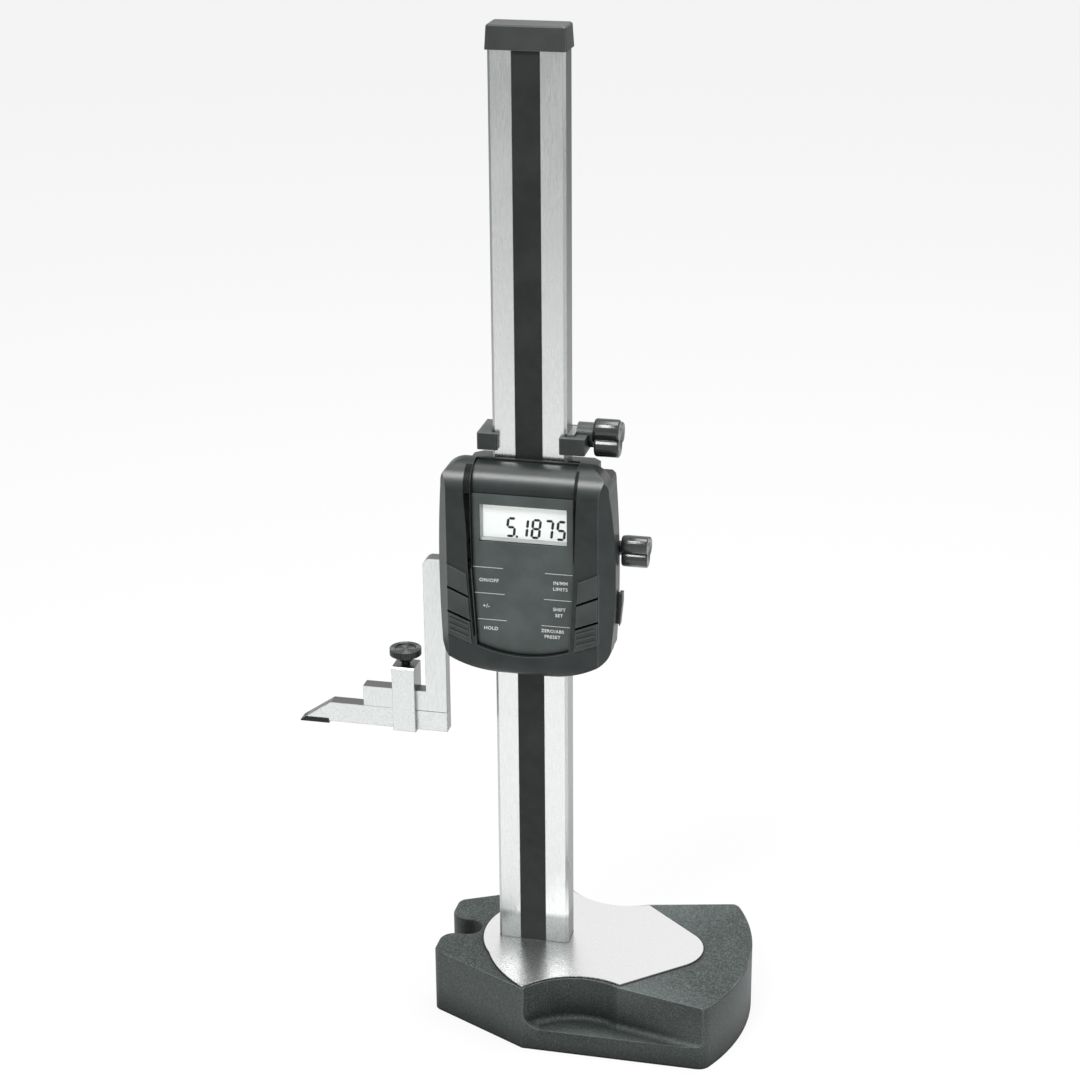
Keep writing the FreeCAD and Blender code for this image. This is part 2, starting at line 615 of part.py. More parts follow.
def jaw_screw_x():
    return "-frame_half + arm_seat / 2"


def jaw_screw_places():
    return (("a", "arm_low + jaw_screw_inset"), ("b", "arm_top - jaw_screw_inset"))


# How far an inset moves the middle of a round corner along each axis.
CORNER_INSET = 0.8


def house_outline(inset="0"):
    """Front outline of the housing, right half from the crown down, then mirrored."""
    slanted = "%s * (%s)" % (CORNER_INSET, inset)
    right = [
        ("house_crown_half", "house_top - (%s)" % inset),
        ("via", "house_high_half - crown_bulge_x - " + slanted,
         "(house_top + house_high) / 2 + crown_bulge_z - " + slanted),
        ("house_high_half - (%s)" % inset, "house_high"),
        ("via", "house_half - (%s)" % inset, "house_widest"),
        ("house_low_half - (%s)" % inset, "house_low"),
        ("via", "house_low_half - heel_bulge_x - " + slanted,
         "(house_low + heel_height) / 2 - heel_bulge_z + " + slanted),
        ("heel_half - (%s)" % inset, "heel_height + (%s)" % inset),
    ]
    chin = [("via", "0", "house_bottom + (%s)" % inset)]
    return right + chin + mirrored(right)


def house_side(inset="0"):
    """Side profile in Y and Z: flat front, rolled crown and rounded chin."""
    front = "-house_front + (%s)" % inset
    chin = "-chin_back + (%s)" % inset
    return [
        ("0", "house_bottom - overshoot"), (chin, "house_bottom - overshoot"),
        (chin, "house_bottom"),
        ("via", "-(house_front + chin_back) / 2 - chin_bulge_y + (%s)" % inset,
         "(house_bottom + chin_start) / 2 - chin_bulge_z"),
        (front, "chin_start"), (front, "crown_start"),
        ("via", "-house_front + crown_roll_y + (%s)" % inset, "house_top - crown_roll_z"),
        ("-crown_back + (%s)" % inset, "house_top"),
        ("0", "house_top")]


def panel_side():
    """Side profile of all that lies in front of the recess that holds the panel."""
    outer = "-house_front - overshoot"
    return [
        ("-panel_plane", "house_bottom - overshoot"), ("-panel_plane", "panel_crown"),
        ("via", "-panel_plane + panel_roll_y", "house_top - panel_roll_z"),
        ("-panel_crown_back", "house_top - panel_roll_drop"),
        ("-panel_crown_back", "house_top + overshoot"),
        (outer, "house_top + overshoot"), (outer, "house_bottom - overshoot")]


def recess_path(inset="0", crown="house_top + overshoot"):
    """Front outline of the recess between the shoulders, open at the crown."""
    right = [
        ("recess_top_half - (%s)" % inset, crown),
        ("recess_top_half - recess_waist - (%s)" % inset, "house_widest"),
        ("recess_low_half - (%s)" % inset, "recess_low + (%s)" % inset)]
    return right + [("via", "0", "recess_dip + (%s)" % inset)] + mirrored(right)


def key_path(side, index, fit="0", grow="0"):
    """Front outline of one key. The keys slant up and outwards. index counts from the
    lowest, fit shrinks the outline and grow widens it across."""
    low = "key_bottom + %d * key_pitch + (%s)" % (index, fit)
    high = "key_bottom + %d * key_pitch - key_gap - (%s)" % (index + 1, fit)
    lean = "(key_in_high - key_in_low) / 3"
    inner_low = "key_in_low + %d * %s + (%s) - (%s)" % (index, lean, fit, grow)
    inner_high = "key_in_low + %d * %s + (%s) - (%s)" % (index + 1, lean, fit, grow)
    outer = "key_out - (%s) + (%s)" % (fit, grow)
    path = [(inner_low, low), (outer, low + " + key_tilt"),
            (outer, high + " + key_tilt"), (inner_high, high)]
    return [("%s * (%s)" % (side, x), z) for x, z in path]


def slot_path(side):
    """The opening in a shoulder that its three keys share."""
    high = "key_bottom + 3 * key_pitch - key_gap"
    path = [("key_in_low", "key_bottom"), ("key_out", "key_bottom + key_tilt"),
            ("key_out", high + " + key_tilt"), ("key_in_high", high)]
    return [("%s * (%s)" % (side, x), z) for x, z in path]


BOSSES = (("low_left", "-boss_low_x", "boss_low_z"), ("low_right", "boss_low_x", "boss_low_z"),
          ("high_left", "-boss_high_x", "boss_high_z"), ("high_right", "boss_high_x", "boss_high_z"))
BOARD_SCREWS = (("low_left", "-board_screw_low_x", "board_bottom + board_screw_inset"),
                ("low_right", "board_screw_low_x", "board_bottom + board_screw_inset"),
                ("high_left", "-board_screw_high_x", "board_top - board_screw_inset"),
                ("high_right", "board_screw_high_x", "board_top - board_screw_inset"))


def make_front_shell():
    depth = "house_front - seam + overshoot"
    front = prism("house_outline_prism", "XZ_Plane", house_outline(), "seam", depth)
    side = prism("house_side_prism", "YZ_Plane", house_side(), "-house_half",
                 "2 * house_half")
    bevel = "house_half + way_gap"
    plan = prism("house_plan_prism", "XY_Plane", [
        (neg(bevel), "0"), (neg(bevel), "-bevel_start"),
        ("-(house_half - bevel_in)", "-house_front"), ("house_half - bevel_in", "-house_front"),
        (bevel, "-bevel_start"), (bevel, "0")], "house_bottom",
        "house_top - house_bottom")
    outer = common("house_outer", front, side, plan)
    recess = common(
        "panel_recess",
        prism("recess_prism", "XZ_Plane", recess_path(), "seam", depth),
        prism("recess_side_prism", "YZ_Plane", panel_side(), "-house_half", "2 * house_half"))
    hollow = prism("hollow_prism", "XZ_Plane", house_outline("shell_wall"), "seam - sink",
                   "cavity_face - seam + sink")
    hollow_side = prism("hollow_side_prism", "YZ_Plane", house_side("crown_wall"),
                        "-house_half", "2 * house_half")
    wide = "house_half - hollow_side_wall"
    narrow = "house_half - bevel_in - hollow_bevel_wall"
    hollow_plan = prism("hollow_plan_prism", "XY_Plane", [
        ("-house_half", "0"), (neg(wide), "-bevel_start + sink"),
        (neg(narrow), "-house_front + sink"), (narrow, "-house_front + sink"),
        (wide, "-bevel_start + sink"), ("house_half", "0")],
        "house_bottom", "house_top - house_bottom - hollow_top")
    cavity = common("house_cavity", hollow, hollow_side, hollow_plan)
    window = box("window_cut", "-window_half", "-panel_plane - sink", "window_bottom",
                 "window_half", "-cavity_face + sink", "window_top")
    slots = [prism("key_slot_" + name, "XZ_Plane", slot_path(side), "seam", depth)
             for name, side in (("left", "-1"), ("right", "1"))]
    shell = cut("front_shell_hollow", outer, recess, cavity, window, *slots)
    bosses = [rod("shell_boss_" + name, "y", x, "-cavity_face - boss_sink", z, "boss_radius",
                  "cavity_face - seam + boss_sink") for name, x, z in BOSSES]
    pillars = [rod("board_boss_" + name, "y", x, "-cavity_face - boss_sink", z, "boss_radius",
                   "cavity_face - board_face + boss_sink") for name, x, z in BOARD_SCREWS]
    solid = fuse("front_shell_solid", shell, *(bosses + pillars))
    taps = [rod("shell_tap_" + name, "y", x, "-cavity_face + shell_tap_wall", z,
                "shell_screw_radius", "cavity_face - seam") for name, x, z in BOSSES]
    board_taps = [rod("board_tap_" + name, "y", x, "-cavity_face + board_tap_wall", z,
                      "shell_screw_radius", "cavity_face - board_face")
                  for name, x, z in BOARD_SCREWS]
    sub_part(cut("front_shell_cut", solid, *(taps + board_taps)), "front_shell")


def make_rear_covers():
    """Two side covers behind the seam, one each side of the slider frame."""
    for name, side in (("left", "-1"), ("right", "1")):
        near = "%s * cover_near" % side
        shape = prism("cover_outline_" + name, "XZ_Plane", house_outline("cover_inset"),
                      "-cover_back", "seam + cover_back")
        plan = prism("cover_plan_" + name, "XY_Plane", [
            (near, "-seam"), ("%s * house_half" % side, "-seam"),
            ("%s * house_half" % side, "-cover_flat"),
            ("%s * cover_low_half" % side, "cover_back"), (near, "cover_back")],
            "house_bottom", "house_top - cover_drop - house_bottom")
        inner = prism("cover_hollow_" + name, "XZ_Plane", house_outline("cover_inset + cover_wall"),
                      "-cover_back", "seam + cover_back + sink")
        inner_plan = prism("cover_hollow_plan_" + name, "XY_Plane", [
            ("%s * (cover_near - sink)" % side, "-seam - sink"),
            ("%s * (house_half - cover_wall)" % side, "-seam - sink"),
            ("%s * (house_half - cover_wall)" % side, "-cover_flat"),
            ("%s * (cover_low_half - cover_wall)" % side, "cover_back - cover_wall"),
            ("%s * (cover_near - sink)" % side, "cover_back - cover_wall")],
            "house_bottom", "house_top - cover_drop - cover_wall - house_bottom")
        shell = cut("cover_shell_" + name, common("cover_block_" + name, shape, plan),
                    common("cover_room_" + name, inner, inner_plan))
        own = [spot for spot in BOSSES if spot[0].endswith(name)]
        posts = [rod("cover_post_" + spot, "y", x, "-seam", z, "boss_radius",
                     "seam + cover_back") for spot, x, z in own]
        trimmed = common("cover_posts_" + name, fuse("cover_post_pair_" + name, *posts),
                         common("cover_limit_" + name, shape, plan))
        solid = fuse("cover_solid_" + name, shell, trimmed)
        holes = [rod("cover_hole_" + spot, "y", x, "-seam - sink", z, "shell_screw_radius",
                     "seam + cover_back + 2 * sink") for spot, x, z in own]
        sinks = [rod("cover_sink_" + spot, "y", x, "cover_head", z,
                     "shell_screw_head + head_fit", "cover_back - cover_head + sink")
                 for spot, x, z in own]
        if name == "left":
            extra = [box("jaw_way", "-house_half - sink", "-bar_half - way_gap",
                         "arm_low - way_gap", "-cover_near + sink", "cover_back + sink",
                         "arm_top + way_gap")]
        else:
            lock_way = rod("lock_way", "x", "frame_half - sink", "0", "lock_height",
                           "lock_boss_radius + way_gap", "house_half - frame_half + 2 * sink")
            port_way = box("port_way", "port_reach - sink", "-port_front", "port_low",
                           "house_half + sink", "-port_rear", "port_high")
            extra = [lock_way, port_way]
        sub_part(cut("cover_cut_" + name, solid, *(holes + sinks + extra)),
                 "rear_cover_" + name)
    screws = []
    for spot, x, z in BOSSES:
        shank = rod("shell_screw_%s_rod" % spot, "y", x, "-cavity_face + shell_screw_tip", z,
                    "shell_screw_radius", "cavity_face - shell_screw_tip + cover_head")
        head = rod("shell_screw_%s_head" % spot, "y", x, "cover_head", z,
                   "shell_screw_head", "shell_screw_head_tall")
        cross = box("shell_screw_%s_slot" % spot, "(%s) - screw_slot_half" % x,
                    "cover_back - cover_screw_sunk - screw_slot_deep",
                    "(%s) - shell_screw_head - sink" % z, "(%s) + screw_slot_half" % x,
                    "cover_back", "(%s) + shell_screw_head + sink" % z)
        screws.append(cut("shell_screw_" + spot, fuse("shell_screw_%s_blank" % spot, shank, head),
                          cross))
    sub_part(compound("shell_screw_set", screws), "shell_screws")


def make_display():
    panel = body("panel_body")
    face = sketch(panel, "panel_outline", "XZ_Plane", "panel_plane")
    outline(face, recess_path("panel_fit", "panel_crown"))
    pad(panel, "panel_pad", face, "panel_thick")
    opening = rectangle(sketch(panel, "panel_window", "XZ_Plane", "panel_plane"),
                        "-window_half", "window_bottom", "window_half", "window_top")
    pocket(panel, "panel_hole", opening, "panel_thick", backwards=True)
    sub_part(panel, "face_panel")
    sub_part(box("window_plate", "-window_half + window_fit", "-cavity_face - window_thick",
                 "window_bottom + window_fit", "window_half - window_fit", "-cavity_face",
                 "window_top - window_fit"), "display_window")
    sub_part(box("lcd_block", "-window_half - lcd_margin", "-cavity_face",
                 "window_bottom - lcd_margin", "window_half + lcd_margin", "-board_face",
                 "window_top + lcd_margin"), "lcd_module")


def make_electronics():
    board = body("board_body")
    plate = rectangle(sketch(board, "board_outline", "XZ_Plane", "board_back"),
                      "-board_half", "board_bottom", "board_half", "board_top")
    pad(board, "board_pad", plate, "board_thick")
    soften(board, "board_corners", "board_round", lambda b, c: (
        b.YLength > 1 and b.XLength < 0.01 and b.ZLength < 0.01))
    holes = sketch(board, "board_holes", "XZ_Plane", "board_back")
    for _, x, z in BOARD_SCREWS:
        ring(holes, x, z, "shell_screw_radius")
    pocket(board, "board_bores", holes, "board_thick", backwards=True)
    sub_part(board, "circuit_board")
    sub_part(compound("board_screw_set", [
        fuse("board_screw_" + name,
             rod("board_screw_%s_rod" % name, "y", x, "-cavity_face + board_screw_tip", z,
                 "shell_screw_radius", "cavity_face - board_screw_tip - board_back"),
             rod("board_screw_%s_head" % name, "y", x, "-board_back", z, "shell_screw_head",
                 "board_screw_head")) for name, x, z in BOARD_SCREWS]), "board_screws")
    sub_part(box("head_block", "-head_half", "-board_back", "head_bottom", "head_half",
                 "-column_face - head_gap", "head_top"), "reading_head")
    sub_part(rod("battery_cell", "y", "0", "-board_face - battery_thick", "battery_height",
                 "battery_radius", "battery_thick"), "battery")
    strap = box("battery_strap", "-battery_radius - clip_wall",
                "-board_face - battery_thick - clip_wall", "battery_height - clip_half",
                "battery_radius + clip_wall", "-board_face", "battery_height + clip_half")
    room = rod("battery_room", "y", "0", "-board_face - battery_thick", "battery_height",
               "battery_radius", "battery_thick + sink")
    sub_part(cut("battery_clip_cut", strap, room), "battery_clip")
    sub_part(box("port_block", "board_half - port_seat", "-board_back", "port_low + port_inset",
                 "port_reach - port_gap", "-port_rear", "port_high - port_inset"), "port_socket")


KEYS = (("left", "-1", ("hold_key", "sign_key", "power_key")),
        ("right", "1", ("zero_key", "preset_key", "units_key")))


def make_keys():
    """Six keys. The lowest of each side has ribs that a finger can find."""
    for name, side, labels in KEYS:
        for index, label in enumerate(labels):
            cap = prism(label + "_cap", "XZ_Plane", key_path(side, index, "key_fit"), "key_back",
                        "house_front + key_proud - key_back")
            front = val("house_front + key_proud")
            soften(cap, label + "_edge", "key_edge", lambda b, c: (
                b.YLength < 0.01 and abs(c.y + front) < 0.01), "Chamfer")
            flange = prism(label + "_flange", "XZ_Plane",
                           key_path(side, index, "key_fit", "key_flange + key_fit"),
                           "cavity_face - flange_gap - key_flange_thick", "key_flange_thick")
            pieces = [cap, flange]
            if index == 0:
                pieces += key_ribs(label, side)
            sub_part(fuse(label + "_solid", *pieces), label)


def key_ribs(label, side):
    """Three ribs that follow the key's slant."""
    ribs = []
    inner = "key_in_low + rib_in"
    outer = "key_out - rib_out"
    for number in range(3):
        low = "key_bottom + key_fit + %d * (key_pitch - key_gap) / 4 - rib_wide / 2" % (number + 1)
        near = low + " + rib_in * key_slant"
        far = low + " + key_tilt - rib_out * key_slant"
        path = [(inner, near), (outer, far), (outer, far + " + rib_wide"),
                (inner, near + " + rib_wide")]
        ribs.append(prism("%s_rib_%d" % (label, number), "XZ_Plane",
                          [("%s * (%s)" % (side, x), z) for x, z in path],
                          "house_front + key_proud - rib_sink", "rib_sink + rib_high"))
    return ribs


def make_port_cover():
    """A soft plug for the data port, with a flap that a nail can lift."""
    plug = box("port_plug", "port_reach", "-port_front + port_fit", "port_low + port_fit",
               "flap_face", "-port_rear - port_fit", "port_high - port_fit")
    low = "port_low - flap_over"
    high = "port_high + flap_over"
    flap = prism("port_flap", "XZ_Plane", [
        ("flap_face", low), ("flap_face + flap_low", low),
        ("flap_face + port_proud", "port_high - flap_bend"), ("flap_face + port_proud", high),
        ("flap_face", high)], "port_rear - flap_over / 2", "port_front - port_rear + flap_over")
    sub_part(fuse("port_cover_solid", plug, flap), "port_cover")


def lobed_knob(name, start, length, ring_radius, lobe, y, z, screw_start, screw_radius, turn):
    """A thumb knob with three lobes on an X axis, with its screw in one piece."""
    lobes = []
    for number in range(3):
        angle = math.radians(turn + 120 * number)
        lobes.append(rod("%s_lobe_%d" % (name, number), "x", start,
                         "(%s) + %.6f * (%s)" % (y, math.cos(angle), ring_radius),
                         "(%s) + %.6f * (%s)" % (z, math.sin(angle), ring_radius), lobe, length))
    core = rod(name + "_core", "x", start, y, z, "(%s) + knob_core_more" % ring_radius, length)
    neck = rod(name + "_neck", "x", "(%s) - knob_neck_length" % start, y, z,
               "knob_neck_radius", "knob_neck_length + sink")
    shank = rod(name + "_shank", "x", screw_start, y, z, screw_radius,
                "(%s) - (%s) + sink" % (start, screw_start))
    return fuse(name, *(lobes + [core, neck, shank]))


def make_knobs():
    sub_part(lobed_knob("lock_knob", "knob_start", "knob_length", "lobe_ring", "lobe_radius",
                        "0", "lock_height", "gib_outer + tip_gap", "lock_screw_radius", 250),
             "slider_lock_knob")
    sub_part(lobed_knob("carriage_knob", "carriage_knob_start", "carriage_knob_length",
                        "carriage_lobe_ring", "carriage_lobe_radius", "cheek_boss_y",
                        "cheek_boss_height", "gib_outer + tip_gap", "lock_screw_radius", 245),
             "carriage_lock_knob")


def make_carriage():
    """The fine adjustment carriage: a clamp round the column with a fork behind that
    traps the thumb wheel."""
    hoop = body("carriage_body")
    section = outline(sketch(hoop, "carriage_section", offset="carriage_bottom"), [
        ("-carriage_left", "-carriage_front"), ("-lip_edge", "-carriage_front"),
        ("-lip_edge", "-channel_face"), ("-channel_left", "-channel_face"),
        ("-channel_left", "channel_face"), ("gib_outer", "channel_face"),
        ("gib_outer", "-channel_face"), ("lip_edge", "-channel_face"),
        ("lip_edge", "-carriage_front"), ("carriage_right", "-carriage_front"),
        ("carriage_right", "carriage_back"), ("-carriage_left", "carriage_back")])
    pad(hoop, "carriage_pad", section, "carriage_height")
    soften(hoop, "carriage_corners", "carriage_edge", lambda b, c: (
        b.ZLength > 5 and abs(c.y + val("carriage_front")) < 0.01), "Chamfer")
    block = box("fork_block", "-fork_half", "channel_face", "fork_bottom", "fork_half",
                "fork_back", "fork_top")
    slot = box("wheel_slot", "-fork_half - sink", "fine_axis_y - wheel_radius - wheel_gap",
               "wheel_bottom - wheel_gap", "fork_half + sink", "fork_back + sink",
               "wheel_top + wheel_gap")
    way = rod("fine_way", "z", "0", "fine_axis_y", "fork_bottom - sink",
              "fine_screw_radius + knob_hole_fit", "fork_top - fork_bottom + 2 * sink")
    boss = rod("cheek_boss", "x", "gib_outer", "cheek_boss_y", "cheek_boss_height",
               "cheek_boss_radius", "cheek_boss_end - gib_outer")
    hole = rod("cheek_hole", "x", "gib_outer - sink", "cheek_boss_y", "cheek_boss_height",
               "lock_screw_radius + knob_hole_fit", "cheek_boss_end - gib_outer + 2 * sink")
    solid = fuse("carriage_solid", hoop, block, boss)
    sub_part(cut("carriage_cut", solid, slot, way, hole), "fine_carriage")
    sub_part(box("carriage_gib_bar", "column_half + slide_gap", "-channel_face + carriage_gib_gap",
                 "carriage_bottom", "gib_outer", "channel_face - carriage_gib_gap",
                 "cheek_boss_height + lock_screw_radius + carriage_gib_proud"), "carriage_gib")
    sub_part(rod("fine_rod", "z", "0", "fine_axis_y", "fine_screw_bottom", "fine_screw_radius",
                 "fine_screw_top - fine_screw_bottom"), "fine_adjust_screw")
    wheel = knurled("fine_wheel", "0", "fine_axis_y", "wheel_bottom", "wheel_radius",
                    "wheel_height")
    bore = rod("wheel_bore", "z", "0", "fine_axis_y", "wheel_bottom - sink",
               "fine_screw_radius + knob_hole_fit", "wheel_height + 2 * sink")
    sub_part(cut("fine_wheel_cut", wheel, bore), "fine_adjust_wheel")


def knurled(name, x, y, z, radius, height):
    """A disc whose rim has straight grooves all round."""
    disc = body(name + "_body")
    rim = ring(sketch(disc, name + "_sketch", offset=z), x, y, radius)
    pad(disc, name + "_pad", rim, height)
    grooves = sketch(disc, name + "_grooves", offset=z)
    total = int(val("knurl_count"))
    for number in range(total):
        angle = 2 * math.pi * number / total
        ring(grooves, "(%s) + %.6f * (%s)" % (x, math.cos(angle), radius),
             "(%s) + %.6f * (%s)" % (y, math.sin(angle), radius), "knurl_radius")
    pocket(disc, name + "_knurl", grooves, height, backwards=True)
    return disc


def make_jaw():
    jaw = prism("jaw_plate", "XZ_Plane", [
        ("-foot_x", "bar_top"), ("-bar_end_x", "bar_top"), ("-bar_end_x", "arm_low"),
        ("-frame_half + arm_seat", "arm_low"), ("-frame_half + arm_seat", "arm_top"),
        ("-arm_left", "arm_top"), ("-arm_left", "foot_top"), ("-foot_x", "foot_top")],
        "-bar_half", "bar_thick")
    soften(jaw, "jaw_shoulder", "arm_round", lambda b, c: (
        b.YLength > 5 and abs(c.x + val("arm_left")) < 0.01 and abs(c.z - val("arm_top")) < 0.01))
    taps = [rod("jaw_tap_" + side, "y", jaw_screw_x(), "-bar_half", z, "jaw_screw_radius",
                "bar_thick") for side, z in jaw_screw_places()]
    sub_part(cut("jaw_cut", jaw, *taps), "jaw_arm")
    screws = [screw("jaw_screw_" + side, "y", jaw_screw_x(), "-bar_half + jaw_screw_tip", z,
                    "jaw_screw_radius", "frame_back + bar_half - jaw_screw_tip",
                    "jaw_screw_head", "jaw_screw_head_tall", "jaw_screw_head / 2")
              for side, z in jaw_screw_places()]
    sub_part(compound("jaw_screw_pair", screws), "jaw_screws")
    sub_part(prism("scriber_bar", "XZ_Plane", [
        ("-bar_end_x", "bar_bottom"), ("-bar_end_x", "bar_top"), ("-slope_x", "bar_top"),
        ("-carbide_slope_x", "carbide_top"), ("-carbide_x", "carbide_top"),
        ("-carbide_x", "bar_bottom")], "-bar_half", "bar_thick"), "scriber")
    sub_part(prism("carbide_plate", "XZ_Plane", [
        ("-tip_x", "measuring_height"), ("-carbide_x", "measuring_height"),
        ("-carbide_x", "carbide_top"), ("-carbide_slope_x", "carbide_top"),
        ("-tip_x", "measuring_height + carbide_nose")], "-bar_half", "bar_thick"), "carbide_tip")


def make_clamp():
    low_x = "-clamp_x - clamp_length / 2"
    high_x = "-clamp_x + clamp_length / 2"
    stirrup = prism("clamp_block", "YZ_Plane", [
        ("-clamp_out", "clamp_low"), ("clamp_out", "clamp_low"), ("clamp_out", "clamp_top"),
        ("-clamp_out", "clamp_top")], low_x, "clamp_length")
    soften(stirrup, "clamp_edges", "clamp_edge", lambda b, c: b.XLength > 5, "Chamfer")
    way = box("clamp_way", low_x + " - sink", "-clamp_in", "clamp_low + clamp_floor",
              high_x + " + sink", "clamp_in", "clamp_roof")
    hole = rod("clamp_hole", "z", "-clamp_x", "0", "clamp_roof - sink",
               "clamp_screw_radius + knob_hole_fit", "clamp_top - clamp_roof + 2 * sink")
    sub_part(cut("clamp_cut", stirrup, way, hole), "scriber_clamp")
    head = knurled("thumb_head", "-clamp_x", "0", "thumb_bottom", "thumb_radius", "thumb_thick")
    skirt = cone("thumb_skirt", "z", "-clamp_x", "0", "thumb_bottom - thumb_cone",
                 "clamp_screw_radius + skirt_edge", "thumb_radius - skirt_inset", "thumb_cone")
    shank = rod("thumb_shank", "z", "-clamp_x", "0", "clamp_roof + tip_gap",
                "clamp_screw_radius", "thumb_bottom - clamp_roof - tip_gap + sink")
    dish = cone("thumb_dish", "z", "-clamp_x", "0", "thumb_bottom + thumb_thick - dish_deep",
                "thumb_radius - dish_rim - dish_slope", "thumb_radius - dish_rim",
                "2 * dish_deep")
    sub_part(cut("thumb_cut", fuse("thumb_solid", head, skirt, shank), dish), "clamp_screw")


make_base()
make_column()
make_cap()
make_slider_frame()
make_front_shell()
make_rear_covers()
make_display()
make_electronics()
make_keys()
make_port_cover()
make_knobs()
make_carriage()
make_jaw()
make_clamp()
doc.recompute()

for item in doc.Objects:
    if "Invalid" in item.State or "Error" in item.State:
        raise RuntimeError("%s failed: %s" % (item.Name, item.State))

total = 0
for item in parts:
    shape = item.Shape
    if shape.isNull() or not shape.isValid() or not shape.Solids:
        raise RuntimeError(item.Label + " has no valid shape")
    shape.exportStep("parts/" + item.Label + ".step")
    total += len(shape.Solids)
    print("%-20s %2d solid %10.1f mm3" % (item.Label, len(shape.Solids), shape.Volume))
print(len(parts), "nodes,", total, "solids")
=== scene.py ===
import bmesh
import bpy
import math
from mathutils import Matrix, Vector
from mathutils.bvhtree import BVHTree


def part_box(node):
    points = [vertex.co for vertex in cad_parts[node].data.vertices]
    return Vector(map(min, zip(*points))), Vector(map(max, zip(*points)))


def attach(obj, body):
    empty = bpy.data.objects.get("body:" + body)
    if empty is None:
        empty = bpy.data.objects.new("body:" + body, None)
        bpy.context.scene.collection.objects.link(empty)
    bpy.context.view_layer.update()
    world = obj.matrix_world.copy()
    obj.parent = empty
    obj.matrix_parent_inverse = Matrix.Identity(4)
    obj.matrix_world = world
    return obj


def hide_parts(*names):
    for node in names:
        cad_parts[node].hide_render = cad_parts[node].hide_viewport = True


# Height gauge with an electronic display. Metres, +Z up, the display faces -Y and the
# scriber points to -X. The solids come packed; this script adds finishes, the figures
# in the display, the print on the panel, threads and other fine detail.

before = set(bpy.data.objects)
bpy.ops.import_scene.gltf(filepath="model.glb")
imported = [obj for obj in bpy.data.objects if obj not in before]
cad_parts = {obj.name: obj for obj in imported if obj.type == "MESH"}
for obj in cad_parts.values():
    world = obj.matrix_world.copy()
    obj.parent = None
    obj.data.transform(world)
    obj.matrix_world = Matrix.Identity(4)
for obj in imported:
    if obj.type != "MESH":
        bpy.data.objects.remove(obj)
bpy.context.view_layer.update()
MM = 0.001


def node_box(name):
    """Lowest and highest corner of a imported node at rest."""
    low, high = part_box(name)
    return Vector(low), Vector(high)


# Finishes


def blank_material(name, color, rough, metal=0.0):
    """A material with its shader set up and nothing linked to it."""
    mat = bpy.data.materials.new(name)
    mat.use_nodes = True
    shader = mat.node_tree.nodes["Principled BSDF"]
    shader.inputs["Base Color"].default_value = (*color, 1.0)
    shader.inputs["Roughness"].default_value = rough
    shader.inputs["Metallic"].default_value = metal
    return mat, shader


def add(mat, kind, **settings):
    """A node of a kind, with inputs set by name and other settings as attributes."""
    made = mat.node_tree.nodes.new("ShaderNode" + kind)
    for key, value in settings.items():
        label = key.replace("_", " ")
        if label in made.inputs:
            made.inputs[label].default_value = value
        else:
            setattr(made, key, value)
    return made


def link(mat, source, target):
    mat.node_tree.links.new(source, target)


def object_space(mat, stretch=(1, 1, 1)):
    """Object coordinates, with a pattern stretched along its grain."""
    place = add(mat, "TexCoord")
    mapping = add(mat, "Mapping", Scale=stretch)
    link(mat, place.outputs["Object"], mapping.inputs["Vector"])
    return mapping.outputs["Vector"]


def noise(mat, vector, scale, detail=3.0, rough=0.5):
    made = add(mat, "TexNoise", Scale=scale, Detail=detail, Roughness=rough)
    link(mat, vector, made.inputs["Vector"])
    return made.outputs["Fac"]


def ramp(mat, value, stops):
    """Map a value to colours. stops holds (position, colour)."""
    made = add(mat, "ValToRGB")
    band = made.color_ramp
    while len(band.elements) < len(stops):
        band.elements.new(0.5)
    for element, (position, color) in zip(band.elements, stops):
        element.position = position
        element.color = (*color, 1.0)
    link(mat, value, made.inputs["Fac"])
    return made.outputs["Color"]


def spread(mat, value, low, high):
    """Stretch a value from 0..1 to low..high."""
    made = add(mat, "MapRange", To_Min=low, To_Max=high)
    link(mat, value, made.inputs["Value"])
    return made.outputs["Result"]


def grey(level):
    return level, level, level


def facing_parts(mat):
    """X, Y and Z of the direction in which a face looks."""
    facing = add(mat, "NewGeometry")
    parts = add(mat, "SeparateXYZ")
    link(mat, facing.outputs["Normal"], parts.inputs["Vector"])
    return parts.outputs


def blend_in(mat, color, other, kind="MULTIPLY", factor=1.0):
    mixed = add(mat, "Mix", data_type="RGBA", blend_type=kind)
    mixed.inputs["Factor"].default_value = factor
    link(mat, color, mixed.inputs["A"])
    link(mat, other, mixed.inputs["B"])
    return mixed.outputs["Result"]


def painted_shade_by_side(mat, color, up=1.0, across=1.0):
    """Painted shade and light: darken or lighten the faces that look up, and those that look
    along X.
    """
    parts = facing_parts(mat)
    turned = add(mat, "Math", operation="ABSOLUTE")
    link(mat, parts["X"], turned.inputs[0])
    for value, share in ((parts["Z"], up), (turned.outputs[0], across)):
        shade = ramp(mat, value, [(0.55, grey(1)), (0.9, grey(share))])
        color = blend_in(mat, color, shade)
    return color


def painted_shade_on_sides(mat, color, share):
    """Painted shade: darken every face but those that look up."""
    shade = ramp(mat, facing_parts(mat)["Z"], [(0.25, grey(share)), (0.8, grey(1))])
    return blend_in(mat, color, shade)


def painted_crease_shade(mat, reach, dark):
    """Painted shade from ambient occlusion, dark in seams and grooves narrower than reach."""
    open_share = add(mat, "AmbientOcclusion", samples=6)
    open_share.inputs["Distance"].default_value = reach
    return ramp(mat, open_share.outputs["AO"], [(0.58, grey(dark)), (0.95, grey(1))])


